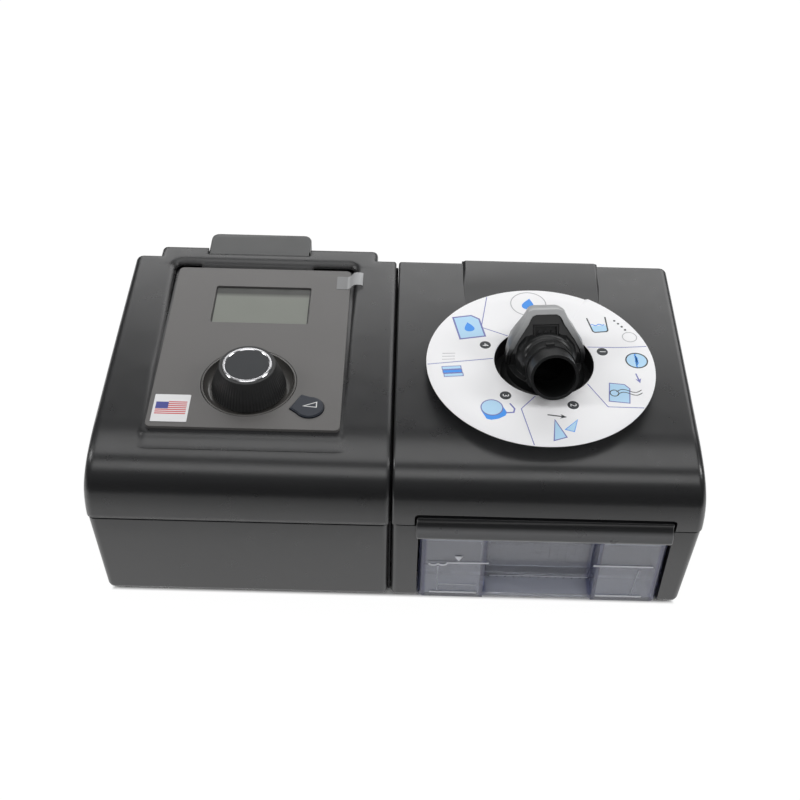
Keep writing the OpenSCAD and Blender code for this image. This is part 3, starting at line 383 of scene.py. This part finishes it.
def graded(material, axis, stops):
    """Grades a material's colour along an axis of the frame, through (place, colour) stops."""
    nodes, links = material.node_tree.nodes, material.node_tree.links
    split = nodes.new("ShaderNodeSeparateXYZ")
    place = nodes.new("ShaderNodeTexCoord")
    links.new(place.outputs["Object"], split.inputs["Vector"])
    first, last = stops[0][0], stops[-1][0]
    reach = maths(nodes, links, "DIVIDE",
                  maths(nodes, links, "SUBTRACT", split.outputs[axis], first), last - first)
    ramp = nodes.new("ShaderNodeValToRGB")
    marks = ramp.color_ramp.elements
    while len(marks) < len(stops):
        marks.new(1)
    for mark, (at, tone) in zip(marks, stops):
        mark.position = (at - first) / (last - first)
        mark.color = (*tone, 1)
    links.new(reach, ramp.inputs["Fac"])
    links.new(ramp.outputs["Color"], nodes["Principled BSDF"].inputs["Base Color"])
    return material


def clear(name, tint, rough=0.05, ior=1.5, body_colour=0.0):
    """Clear plastic with faint flow marks, of which a share scatters light as a solid colour."""
    material, nodes, links, body = shader(name)
    body.inputs["Base Color"].default_value = (*tint, 1)
    body.inputs["Transmission Weight"].default_value = 1 - body_colour
    body.inputs["IOR"].default_value = ior
    marks = noise(nodes, links, FLOW, 3).outputs["Fac"]
    links.new(span(nodes, links, marks, rough * 0.6, rough * 1.6), body.inputs["Roughness"])
    bump = nodes.new("ShaderNodeBump")
    bump.inputs["Strength"].default_value = 0.08
    bump.inputs["Distance"].default_value = WAVE_DEPTH
    links.new(noise(nodes, links, WAVE, 2).outputs["Fac"], bump.inputs["Height"])
    links.new(bump.outputs["Normal"], body.inputs["Normal"])
    return material


def ink(name, tone):
    """Flat print with the slight mottle of a press."""
    return moulded(name, tone, rough=0.5, grain=0.6 * MM, relief=0.02, edge=0.02 * MM, shift=0.05)


# Operators, one for each piece or group of like pieces


# Name, middle and size in mm of each dark sheet in the seam between the modules: painted shade,
# standing where the seam lies in shadow
SEAM_SHADE_SHEETS = (("seam_seal", (0, 119.5, 78), (0.9, 47, 32)),
         ("seam_seal_front", (-0.15, 0.8, 30.05), (0.86, 1, 51.7)))


class AIRWAY_OT_cases(bpy.types.Operator):
    """Satin charcoal cases, lid, lip bar with a painted reflection, filter cover and dark sheets
    of painted shade in the seam
    """
    bl_idname = "airway.cases"
    bl_label = "Cases"

    def execute(self, context):
        look = finish("case_finish")

        def satin(name, **more):
            return moulded(name, look.charcoal, look.sheen, look.grain, gloss=look.gloss, **more)

        case = satin("satin_charcoal")
        for node in ("unit_base", "humidifier_base", "lid_shell", "filter_cover"):
            smooth_copy(node, case)
        smooth_copy("unit_top", satin("soft_charcoal", edge=look.cove), 50)
        # Painted reflection: the lip bar is lighter on its lower roll, which faces the floor, and
        # charcoal above
        low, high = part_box("lid_lip")
        reflection_top, dark_base = low.z + 5.5 * MM, low.z + 7.5 * MM
        bar = graded(satin("lip_charcoal"), "Z",
                     ((low.z, look.lip), (reflection_top, look.lip),
                      (dark_base, look.charcoal), (high.z, look.charcoal)))
        smooth_copy("lid_lip", bar)
        smooth_copy("accessory_module",
                    moulded("accessory_plastic", look.accessory, 0.38, gloss=look.gloss))
        # Painted shade: a dark rubber-like finish for the sheets that stand in the shadowed seam
        rubber = moulded("seal_rubber", (0.012, 0.012, 0.013), 0.8, 0.5 * MM)
        for name, place, size in SEAM_SHADE_SHEETS:
            deselect()
            bpy.ops.mesh.primitive_cube_add(size=1, location=drawn(*place))
            seal = context.object
            seal.scale = Vector(size) * MM
            bpy.ops.object.transform_apply(location=False, rotation=False, scale=True)
            apply_modifier(seal, "BEVEL", width=0.2 * MM, segments=2)
            settle(seal, name, NODE_BODY["unit_base"], rubber)
        return {"FINISHED"}


class AIRWAY_OT_inner_pieces(bpy.types.Operator):
    """Pieces inside the cases and below them"""
    bl_idname = "airway.inner_pieces"
    bl_label = "Inner pieces"

    def execute(self, context):
        black = moulded("black_plastic", (0.02, 0.021, 0.023), 0.5)
        rubber = moulded("soft_rubber", (0.014, 0.014, 0.015), 0.75, 0.5 * MM)
        steel = moulded("brushed_steel", (0.55, 0.55, 0.57), 0.28, 0.1 * MM, 0.1, metallic=1)
        board = moulded("circuit_board", (0.012, 0.1, 0.045), 0.35, 1.2 * MM, 0.3)
        fan = moulded("fan_plastic", (0.7, 0.7, 0.67), 0.4)
        foam = moulded("filter_foam", (0.17, 0.18, 0.19), 0.95, 0.9 * MM, 1)
        silicone = moulded("grey_silicone", (0.4, 0.42, 0.43), 0.6)
        pad = moulded("heat_pad", (0.5, 0.4, 0.3), 0.7, 0.8 * MM)
        for material, nodes in (
                (black, ("encoder_body", "ramp_switch", "blower_base", "blower_cover", "motor",
                         "service_cover", "lid_liner", "retaining_ring", "outlet_duct",
                         "power_inlet", "dock_hooks")),
                (rubber, ("blower_mounts", "rubber_feet", "air_coupling")),
                (steel, ("encoder_shaft", "rotor_shaft", "case_screws", "lid_screws",
                         "hinge_pin", "heater_plate", "tank_plate")),
                (board, ("main_board", "power_board", "heater_board")),
                (fan, ("impeller",)), (foam, ("intake_foam", "filter_foam")),
                (silicone, ("lid_seal", "tank_seal")), (pad, ("heater_pad",))):
            for node in nodes:
                smooth_copy(node, material)
        return {"FINISHED"}


class AIRWAY_OT_panel(bpy.types.Operator):
    """Control panel with its dish, its display and its tab of clear film"""
    bl_idname = "airway.panel"
    bl_label = "Control panel"

    def execute(self, context):
        look = finish("panel_finish")
        smooth_copy("panel_plate", moulded("panel_plate", look.plate, 0.36, 0.2 * MM, 0.12))
        smooth_copy("dial_dish", moulded("dish_gloss", look.dish, 0.15, 0.3 * MM, 0.02,
                                         gloss=0.9))
        smooth_copy("display_module", moulded("display_face", look.glass, 0.55, 0.2 * MM, 0.03))
        low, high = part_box("display_lens")
        # Painted shade: the display darkens towards its far edge, standing for the shadow of its
        # recess
        shade = [part * look.shade for part in look.glass]
        light_end, shade_start = high.y - 7.5 * MM, high.y - 4.5 * MM
        window = graded(clear("display_window", look.glass, 0.3, 1.5, 0.75), "Y",
                        ((low.y, look.glass), (light_end, look.glass),
                         (shade_start, shade), (high.y, shade)))
        smooth_copy("display_lens", window)
        inset, width = 0.35 * MM, 0.5
        corners = [undrawn(x, y) for x, y in (
            (low.x + inset, low.y + inset), (high.x - inset, low.y + inset),
            (high.x - inset, high.y - inset), (low.x + inset, high.y - inset))]
        border = flat(stroke(corners, width, True), high.z / MM, high.z / MM + PRINT)
        settle(border, "display_border", NODE_BODY["display_lens"],
               ink("black_print", (0.02, 0.02, 0.02)))
        film = clear("clear_film", (0.75, 0.76, 0.77), 0.3, 1.35, 1.0)
        film.node_tree.nodes["Principled BSDF"].inputs["Alpha"].default_value = look.film
        smooth_copy("panel_film", film)
        return {"FINISHED"}


class AIRWAY_OT_wheel(bpy.types.Operator):
    """Control wheel with its bright ring and dark cap"""
    bl_idname = "airway.wheel"
    bl_label = "Control wheel"

    def execute(self, context):
        look = finish("panel_finish")
        smooth_copy("control_wheel", moulded("wheel_plastic", look.wheel, 0.38, 0.25 * MM))
        smooth_copy("wheel_ring", moulded("bright_ring", (0.72, 0.72, 0.74), 0.16, 0.1 * MM,
                                          0.03, metallic=1))
        smooth_copy("wheel_cap", moulded("cap_plastic", look.cap, 0.5, 0.2 * MM))
        return {"FINISHED"}


# Corners of the slope on the ramp button, in mm
SLOPE = [(-42.0, 34.6), (-35.9, 33.9), (-35.9, 37.3)]


class AIRWAY_OT_ramp(bpy.types.Operator):
    """Ramp button with the outline of a rising slope on it"""
    bl_idname = "airway.ramp"
    bl_label = "Ramp button"

    def execute(self, context):
        look = finish("panel_finish")
        smooth_copy("ramp_button", moulded("ramp_plastic", look.button, 0.42, 0.2 * MM))
        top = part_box("ramp_button")[1].z / MM
        mark = flat(stroke(SLOPE, look.mark_width / MM, True), top, top + 1.5 * PRINT)
        settle(mark, "ramp_mark", NODE_BODY["ramp_button"], ink("white_print", (0.8,) * 3))
        return {"FINISHED"}


class AIRWAY_OT_sticker(bpy.types.Operator):
    """White sticker with a blue field and red stripes"""
    bl_idname = "airway.sticker"
    bl_label = "Panel sticker"

    def execute(self, context):
        body = NODE_BODY["panel_sticker"]
        smooth_copy("panel_sticker", moulded("sticker_paper", (0.8, 0.8, 0.81), 0.4, 0.3 * MM))
        low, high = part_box("panel_sticker")
        top = high.z / MM
        left, base = undrawn(low.x, low.y)
        left, base, right = left + 1.2, base + 5, undrawn(high.x, high.y)[0] - 1.2
        pitch, thick, wide, tall, under = 1.27, 0.66, 5.9, 4.4, 3  # stripes and field, in mm

        def block(x, y, end, height):
            """A plate of print from a corner to an end along X."""
            return flat([[(x, y), (end, y), (end, y + height), (x, y + height)]], top, top + PRINT)

        stripes = [block(left if i < under else left + wide, base + i * pitch, right, thick)
                   for i in range(7)]
        settle(joined(stripes), "sticker_stripes", body,
               ink("red_print", (0.62, 0.07, 0.09)))
        field = block(left, base + under * pitch - 0.3, left + wide, tall)
        settle(field, "sticker_field", body, ink("blue_print", (0.06, 0.07, 0.3)))
        return {"FINISHED"}


def drop(size):
    """The outline of a drop with its point up."""
    turns = [2 * math.pi * i / 30 for i in range(30)]
    return [(size * math.sin(t) * math.sin(t / 2) ** 1.4, size * math.cos(t)) for t in turns]


def ripple(half, depth, waves):
    """A wavy line along X."""
    steps = [i / 24 for i in range(25)]
    return [(half * (2 * k - 1), depth * math.sin(2 * math.pi * waves * k)) for k in steps]


def arrow(shaft, width):
    """The outlines of a straight arrow along X."""
    return [[(0, -width / 2), (shaft, -width / 2), (shaft - 0.6, -1.2), (shaft + 2, 0),
             (shaft - 0.6, 1.2), (shaft, width / 2), (0, width / 2)]]


# Outlines of the card's motifs, in mm
CUP = [(-3.9, 4.6), (-3.2, -3.6), (-2.5, -4.4), (2.5, -4.4), (3.2, -3.6), (3.9, 4.6)]
WATER = [(-3.4, -0.6), (-3, -3.4), (-2.4, -4.2), (2.4, -4.2), (3, -3.4), (3.4, -0.6)]
VESSEL = [(-4.4, 2.2), (-4.4, -2.6), (-3, -3.8), (0, -4.3), (3, -3.8), (4.4, -2.6), (4.4, 2.2)]
PIPE = [(4, -2.5), (6.8, -3.4), (8, -1.8), (7.6, 1.6)]
BAR = [(-3.8, -0.85), (3.8, -0.85), (3.8, 0.85), (-3.8, 0.85)]
SHEET = [(-4.2, -5.4), (4.2, -5.4), (4.2, 3.2), (2, 5.4), (-4.2, 5.4)]
WEDGE = [(-2.4, -5), (2.6, -4), (0.4, 5.2)]
# Angle in degrees and reach in mm of each point of the card's dividing lines; 0 is the rim
DIVIDERS = (((133, 24.6), (141, 38), (119, 0)), ((177, 24.6), (184, 0)),
            ((-103, 24.6), (-111, 35), (-98, 0)), ((-37, 24.6), (-47, 41), (-34, 0)),
            ((27, 24.6), (17, 39), (14, 0)))
# Digit, angle in degrees and reach in mm of each number dot
NUMBERS = (("1", 15.6, 30), ("2", -68.2, 31.7), ("3", -129, 31), ("4", 158.7, 30))
DOT, DIGIT = 2.7, 4.2  # radius of a number dot and height of its digit, in mm


def card_print(line, scale):
    """The card's print: the ink, layer and outlines of each item, from the port's middle."""
    items = []

    def add(tone, layer, loops, where, turn=0.0, size=1.0):
        angle, radius = where
        place = put([(radius, 0)], turn=angle)[0]
        items.append((tone, layer, [put(loop, place, turn, size * scale) for loop in loops]))

    # A folded sheet with a drop
    for tone, layer, loops in (("pale", 0, [SHEET]), ("violet", 1, stroke(SHEET, line, True)),
                               ("blue", 1, [drop(2.3)])):
        add(tone, layer, loops, (146, 43), 12, 1.25)
    # A faint ring round a drop, behind the hood
    add("grey", 0, stroke(circle(7.4), line * 0.8, True), (97, 43))
    add("blue", 0, [drop(3.6)], (97, 43), -10)
    # A cup, its water and a row of dots
    add("pale", 0, [WATER], (44, 40), 8)
    add("dark", 1, stroke(CUP, line), (44, 40), 8)
    add("blue", 1, stroke(ripple(3, 0.35, 2), line * 0.8), (44.5, 39.6), 8)
    for step in range(4):
        add("dark", 0, [circle(0.5, 12)], (30.5 + 3.2 * step, 48.5))
    add("grey", 0, stroke(circle(2.9), line * 0.7, True), (24, 47.5))
    # A ring over three ripples
    add("pale", 0, [circle(4.3)], (3, 45))
    add("dark", 1, stroke(circle(4.3), line, True), (3, 45))
    for k in (-1, 0, 1):
        add("blue", 1, stroke(ripple(2.7, 0.4, 1.5), line), (3 + 1.9 * k, 45), 90)
    add("violet", 0, arrow(3.6, line), (-9, 44), -78)
    # Two lengths of hose and a sheet
    add("pale", 0, [SHEET], (-31, 40), -6, 0.95)
    add("violet", 1, stroke(SHEET, line * 0.8, True), (-31, 40), -6, 0.95)
    for k in (0, 1):
        hose = put(ripple(5, 1.1, 1), (4, 1.6 * k - 0.8))
        add("dark", 2, stroke(hose, line * 0.6), (-31, 40), 8)
    add("dark", 1, stroke(circle(1.7), line * 0.7, True), (-33, 38))
    # Two wedges and an arrow
    add("pale", 0, [WEDGE], (-86, 46), 10, 1.05)
    add("violet", 1, stroke(WEDGE, line * 0.8, True), (-86, 46), 10, 1.05)
    add("pale", 0, [WEDGE], (-76, 44), -28, 0.7)
    add("blue", 1, stroke(WEDGE, line * 0.8, True), (-76, 44), -28, 0.7)
    add("dark", 0, arrow(5.5, line), (-91, 36.2), -8)
    # A round vessel with its lid and a bent pipe
    add("blue", 0, [VESSEL], (-126, 43), 24)
    add("pale", 1, [circle(4.4, 32)], (-129, 41.6), 24, 0.94)
    add("violet", 2, stroke(circle(4.2, 32), line * 0.8, True), (-129, 41.6), 24)
    add("violet", 1, stroke(PIPE, line * 1.1), (-126, 43), 24)
    # A stack of pads and faint lines
    for k in range(3):
        add("blue" if k == 1 else "pale", 0, [BAR], (194 - 3.2 * k, 45), 6)
        add("violet", 1, stroke(BAR, line * 0.6, True), (194 - 3.2 * k, 45), 6)
        add("grey", 0, stroke([(-2.6, 0), (2.6, 0)], line * 0.6), (180 - 2.6 * k, 46), 4)
    return items


class AIRWAY_OT_card(bpy.types.Operator):
    """Round card whose slit ends overlap, with its print and its numbers"""
    bl_idname = "airway.card"
    bl_label = "Instruction card"

    def execute(self, context):
        look = finish("card_print")
        body = NODE_BODY["instruction_card"]
        paper = moulded("card_paper", look.paper, 0.36, 0.5 * MM, 0.06, 0.05 * MM, 0.012)
        low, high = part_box("instruction_card")
        middle = Vector(((low.x + high.x) / 2, (low.y + high.y) / 2))
        shift = Vector((-1.7, -1.5))  # from the port's middle to the card's, in mm
        port = (middle - Vector(DATUM) * MM) / MM - shift
        radius, bore, margin, swing = (high.x - low.x) / 2 / MM, 24.0, 0.5, 0.9
        sheet = (high.z - low.z) / 2
        slit, lap, bend = 62.0, 1.3, 42  # in degrees: the slit, the overlap and the free end

        def rim(way):
            """How far the card's rim is from the port's middle, in mm."""
            along = shift.dot(way)
            return along + math.sqrt(along ** 2 + radius ** 2 - shift.length_squared)

        def rise(angle):
            """How far the card's free end stands up at an angle in degrees, from 0 to 1."""
            left = (slit + lap - angle) % 360
            return max(0, 1 - left / bend) ** 2

        def printed(loops, layer):
            """A plate of print that follows the card's bend."""
            plate = flat(loops, top - 0.01, top + step * (layer + 1))
            for vertex in plate.data.vertices:
                x, y = undrawn(vertex.co.x, vertex.co.y)
                vertex.co.z += sheet * rise(math.degrees(math.atan2(y - port.y, x - port.x)))
            return plate

        deselect()
        bpy.ops.mesh.primitive_grid_add(x_subdivisions=240, y_subdivisions=4, size=1)
        card = context.object
        for vertex in card.data.vertices:
            u, v = vertex.co.x + 0.5, 0.5 - vertex.co.y
            angle = slit - 360 + (360 + lap) * u
            way = Vector(put([(1, 0)], turn=angle)[0])
            up = rise(angle) if u > 0.5 else 0
            reach = bore + (rim(way) - margin + swing * up - bore) * v
            vertex.co = drawn(*(port + way * reach), low.z / MM) + Vector((0, 0, sheet * (1 + up)))
        apply_modifier(card, "SOLIDIFY", thickness=sheet, offset=-1)
        apply_modifier(card, "BEVEL", width=0.07 * MM, segments=2, limit_method="ANGLE")
        bpy.ops.object.shade_smooth_by_angle(angle=math.radians(30))
        settle(card, "card", body, paper)
        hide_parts("instruction_card")
        top = (low.z + sheet) / MM
        step = look.ink / MM
        plates = {}
        for tone, layer, loops in card_print(look.line / MM, look.scale):
            moved = [[(x + port.x, y + port.y) for x, y in loop] for loop in loops]
            plates.setdefault(tone, []).append(printed(moved, layer))
        for points in DIVIDERS:
            line = []
            for angle, reach in points:
                way = Vector(put([(1, 0)], turn=angle)[0])
                line.append(tuple(port + way * (reach or rim(way) - 1)))
            plates.setdefault("violet", []).append(printed(stroke(line, look.line / MM * 0.8), 0))
        for digit, angle, reach in NUMBERS:
            place = port + Vector(put([(reach, 0)], turn=angle)[0])
            plates.setdefault("dark", []).append(printed([circle(DOT, 40, place)], 0))
            deselect()
            bpy.ops.object.text_add()
            text = context.object
            text.data.body, text.data.size, text.data.extrude = digit, DIGIT, PRINT
            text.data.align_x, text.data.align_y = "CENTER", "CENTER"
            plates.setdefault("paper", []).append(
                meshed(text, drawn(*place, top + step * 1.5), (0, 0, -math.pi / 2)))
        for tone, pieces in plates.items():
            settle(joined(pieces), "card_" + tone, body,
                   ink(tone + "_card_ink", getattr(look, tone)))
        return {"FINISHED"}


class AIRWAY_OT_elbow(bpy.types.Operator):
    """Swivel elbow, its hood, its socket and the collar"""
    bl_idname = "airway.elbow"
    bl_label = "Elbow"

    def execute(self, context):
        look = finish("case_finish")
        dark = moulded("elbow_plastic", look.dark, 0.34, 0.3 * MM, 0.15)
        for node in ("elbow_body", "outlet_collar"):
            smooth_copy(node, dark)
        # Painted shade: the hood is graded from the elbow's dark at its base, through darker
        # sides, to its own light grey at the crown
        low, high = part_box("elbow_hood")
        dark_end, side, crown = low.z + 5 * MM, low.z + 12 * MM, high.z - 3 * MM
        hood = graded(moulded("hood_plastic", look.hood, 0.3, 0.3 * MM, 0.15), "Z",
                      ((low.z, look.dark), (dark_end, look.dark), (side, look.hood_side_painted_shade),
                       (crown, look.hood)))
        smooth_copy("elbow_hood", hood, 40)
        smooth_copy("hose_socket", moulded("socket_plastic", (0.008, 0.008, 0.009), 0.5))
        return {"FINISHED"}


# The lines on the tank's front: their points across and up, in mm, and their width. In the fill
# marks, the two lines low down along the pockets' floors are painted highlights; the others are
# moulded
LEVEL = [(19.1, 28.6), *((19.1 + k / 2, 28.2 - abs(math.sin(math.pi * k / 9)) + 0.35 * k / 18)
                         for k in range(1, 18)), (28.1, 29.2), (48.1, 29.7)]
FILL_MARKS_AND_PAINTED_GLINTS = ((LEVEL, 0.85), ([(98.8, 29.8), (127.7, 29.8)], 0.85), ([(19.9, 6.1), (43.3, 6.1)], 1.1),
         ([(102.5, 6.2), (125.3, 6.2)], 1.1))
POINTER = [(31.3, 34.4), (35.4, 34.4), (33.5, 30.8)]
RIDGES = (([(24.2, 12.3), (42.9, 12.3)], 0.3), ([(23.6, 7.4), (23.6, 26.6)], 0.3),
          ([(119.6, 7.4), (121.2, 27)], 0.3), ([(49, 20.5), (97, 20.5)], 0.25))


class AIRWAY_OT_tank(bpy.types.Operator):
    """Clear water tank with its moulded fill marks, painted highlights low in its pockets and
    faint ridges
    """
    bl_idname = "airway.tank"
    bl_label = "Water tank"

    def execute(self, context):
        look = finish("tank_finish")
        low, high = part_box("tank_base")
        middle = (low.x + high.x) / 2
        plastic = clear("tank_plastic", look.tint, look.rough, 1.5, look.haze)
        fade, grip, side, rib = 1.2 * MM, 27 * MM, 3 * MM, 0.9 * MM
        stops = []
        for at, half in ((low.x, side), (middle - grip, rib), (middle + grip, rib),
                         (high.x, side)):
            stops += [(at - half - fade, look.tint), (at - half, look.edge),
                      (at + half, look.edge), (at + half + fade, look.tint)]
        graded(plastic, "X", stops[2:-2])
        for node in ("tank_base", "tank_lid"):
            smooth_copy(node, plastic)
        # Painted highlights: the strips low in the pockets share the fill marks' white
        white = ink("moulded_mark", look.mark)
        faint = clear("faint_ridge", look.mark, 0.3, 1.3, 0.35)
        marks, ridges = ([stroke(line, width) for line, width in lines]
                         for lines in (FILL_MARKS_AND_PAINTED_GLINTS, RIDGES))
        for name, shapes, material in (("tank_marks", [*marks, [POINTER]], white),
                                       ("tank_ridges", ridges, faint)):
            piece = joined([flat(loops, -0.05, 0.1) for loops in shapes])
            for vertex in piece.data.vertices:  # stands the flat drawing up on the front
                x, z, rise = vertex.co.x, vertex.co.y - DATUM[1] * MM, vertex.co.z
                vertex.co = (x, low.y - rise, z)
            settle(piece, name, NODE_BODY["tank_base"], material)
        return {"FINISHED"}


# Name, place, size and brightness of each soft light, and the point that they face
LAMPS = (("window", (0.3, 1.7, 1.05), (3.0, 1.1), 2.0),
         ("overhead", (0, 0.05, 1.6), (1.6, 0.9), 1.55),
         ("front_top", (0, -1.35, 1.4), (1.8, 0.75), 1.75),
         ("left_box", (-1.4, -0.1, 1.0), (0.5, 0.5), 8.0),
         ("right_box", (1.4, -0.1, 1.0), (0.5, 0.5), 8.0))
AIM = (0, 0, 0.1)
# The floor's white: how much of it shows, and how bright it is
WHITE_SHARE, WHITE_GLOW = 0.93, 1.04


def area_light(name, place, size, radiance):
    """A soft rectangular light of even brightness."""
    lamp = bpy.data.lights.new(name, "AREA")
    lamp.shape = "RECTANGLE"
    lamp.size, lamp.size_y = size
    lamp.energy = radiance * math.pi * size[0] * size[1]
    holder = bpy.data.objects.new(name, lamp)
    bpy.context.scene.collection.objects.link(holder)
    holder.location = place
    holder.rotation_euler = (Vector(AIM) - Vector(place)).to_track_quat("-Z", "Y").to_euler()


class AIRWAY_OT_stage(bpy.types.Operator):
    """White floor, soft studio light and the camera"""
    bl_idname = "airway.stage"
    bl_label = "Stage"

    def outside(self, nodes, links, split, low, high, fade):
        """0 inside a rectangle of the floor, 1 outside it."""
        worst = None
        for axis, first, last in zip("XY", low, high):
            value = split.outputs[axis]
            for kind, amount in (("SUBTRACT", (first + last) / 2), ("ABSOLUTE", 0),
                                 ("SUBTRACT", (last - first) / 2), ("DIVIDE", fade)):
                value = maths(nodes, links, kind, value, amount)
            worst = maths(nodes, links, "MAXIMUM", worst, value) if worst else value
        worst.node.use_clamp = True
        return worst

    def white_floor(self, look):
        """A pale floor that keeps a soft shadow, as a white sheet on a dim table."""
        material, nodes, links, body = shader("white_floor")
        body.inputs["Base Color"].default_value = (0.9, 0.9, 0.9, 1)
        body.inputs["Roughness"].default_value = 0.9
        glow = nodes.new("ShaderNodeEmission")
        glow.inputs["Strength"].default_value = WHITE_GLOW
        mix = nodes.new("ShaderNodeMixShader")
        rays = nodes.new("ShaderNodeLightPath")
        place = nodes.new("ShaderNodeTexCoord")
        split = nodes.new("ShaderNodeSeparateXYZ")
        links.new(place.outputs["Object"], split.inputs["Vector"])
        low, high = CAD_BOX
        inset, back, around = 6 * MM, 24 * MM, 0.3  # the accessory module overhangs the back
        under = self.outside(nodes, links, split, (low.x + inset, low.y + inset),
                             (high.x - inset, high.y - back), 2 * MM)
        far = self.outside(nodes, links, split, (low.x - around, low.y - look.sheet),
                           (high.x + around, high.y + around), 30 * MM)
        near = maths(nodes, links, "SUBTRACT", 1.0, far)
        glossy = maths(nodes, links, "MULTIPLY", rays.outputs["Is Glossy Ray"], near)
        white = maths(nodes, links, "MAXIMUM", rays.outputs["Is Camera Ray"],
                      rays.outputs["Is Transmission Ray"])
        shown = maths(nodes, links, "MULTIPLY", maths(nodes, links, "MAXIMUM", white, glossy),
                      under)
        links.new(maths(nodes, links, "MULTIPLY", shown, WHITE_SHARE), mix.inputs["Fac"])
        table = nodes.new("ShaderNodeMixShader")
        dull = nodes.new("ShaderNodeBsdfDiffuse")
        dull.inputs["Color"].default_value = (0.05, 0.05, 0.05, 1)
        unseen = maths(nodes, links, "MULTIPLY", rays.outputs["Is Glossy Ray"], far)
        links.new(unseen, table.inputs["Fac"])
        links.new(body.outputs["BSDF"], table.inputs[1])
        links.new(dull.outputs["BSDF"], table.inputs[2])
        links.new(table.outputs["Shader"], mix.inputs[1])
        links.new(glow.outputs["Emission"], mix.inputs[2])
        links.new(mix.outputs["Shader"], nodes["Material Output"].inputs["Surface"])
        return material

    def execute(self, context):
        look = finish("studio")
        scene = context.scene
        scene.view_settings.view_transform = "Standard"
        deselect()
        bpy.ops.mesh.primitive_plane_add(size=8, location=(0, 0, 0))
        floor = context.object
        floor.name = "floor"
        floor.data.materials.append(self.white_floor(look))
        world = bpy.data.worlds.new("studio_world")
        world.use_nodes = True
        nodes, links = world.node_tree.nodes, world.node_tree.links
        rays = nodes.new("ShaderNodeLightPath")
        dim = nodes["Background"]
        dim.inputs["Color"].default_value = (1, 1, 1, 1)
        dim.inputs["Strength"].default_value = look.ambient
        white = nodes.new("ShaderNodeBackground")
        white.inputs["Color"].default_value = (1, 1, 1, 1)
        mix = nodes.new("ShaderNodeMixShader")
        links.new(maths(nodes, links, "MAXIMUM", rays.outputs["Is Camera Ray"],
                        rays.outputs["Is Transmission Ray"]), mix.inputs["Fac"])
        links.new(dim.outputs["Background"], mix.inputs[1])
        links.new(white.outputs["Background"], mix.inputs[2])
        links.new(mix.outputs["Shader"], nodes["World Output"].inputs["Surface"])
        scene.world = world
        for name, place, size, radiance in LAMPS:
            area_light(name, place, size, radiance)
        camera = bpy.data.cameras.new("camera")
        camera.sensor_width = 36
        camera.lens = look.lens
        camera.clip_start, camera.clip_end = 0.05, 20
        holder = bpy.data.objects.new("camera", camera)
        scene.collection.objects.link(holder)
        yaw = Matrix.Rotation(look.yaw, 4, "Z")
        tilt = Matrix.Rotation(math.pi / 2 - look.pitch, 4, "X")
        roll = Matrix.Rotation(look.roll, 4, "Z")
        holder.matrix_world = Matrix.Translation(look.eye) @ (yaw @ tilt @ roll)
        scene.camera = holder
        return {"FINISHED"}


GROUPS = {"case_finish": CaseFinish, "panel_finish": PanelFinish, "card_print": CardPrint,
          "tank_finish": TankFinish, "studio": Studio}
STEPS = (AIRWAY_OT_cases, AIRWAY_OT_inner_pieces, AIRWAY_OT_panel, AIRWAY_OT_wheel,
         AIRWAY_OT_ramp, AIRWAY_OT_sticker, AIRWAY_OT_card, AIRWAY_OT_elbow, AIRWAY_OT_tank,
         AIRWAY_OT_stage)


class AIRWAY_PT_panel(bpy.types.Panel):
    """Lists the steps that dress the unit"""
    bl_label = "Airway unit"
    bl_idname = "AIRWAY_PT_panel"
    bl_space_type = "VIEW_3D"
    bl_region_type = "UI"
    bl_category = "Airway unit"

    def draw(self, context):
        for step in STEPS:
            self.layout.operator(step.bl_idname)
        for name, group in GROUPS.items():
            box = self.layout.box()
            box.label(text=name.replace("_", " ").capitalize())
            for key in group.__annotations__:
                box.prop(getattr(context.scene, name), key)


def register():
    for group in GROUPS.values():
        bpy.utils.register_class(group)
    for step in (*STEPS, AIRWAY_PT_panel):
        bpy.utils.register_class(step)
    for name, group in GROUPS.items():
        setattr(bpy.types.Scene, name, PointerProperty(type=group))


def unregister():
    for name in GROUPS:
        delattr(bpy.types.Scene, name)
    for step in (AIRWAY_PT_panel, *STEPS[::-1]):
        bpy.utils.unregister_class(step)
    for group in GROUPS.values():
        bpy.utils.unregister_class(group)


def main():
    register()
    for step in STEPS:
        group, name = step.bl_idname.split(".")
        getattr(getattr(bpy.ops, group), name)()


if __name__ == "__main__":
    main()
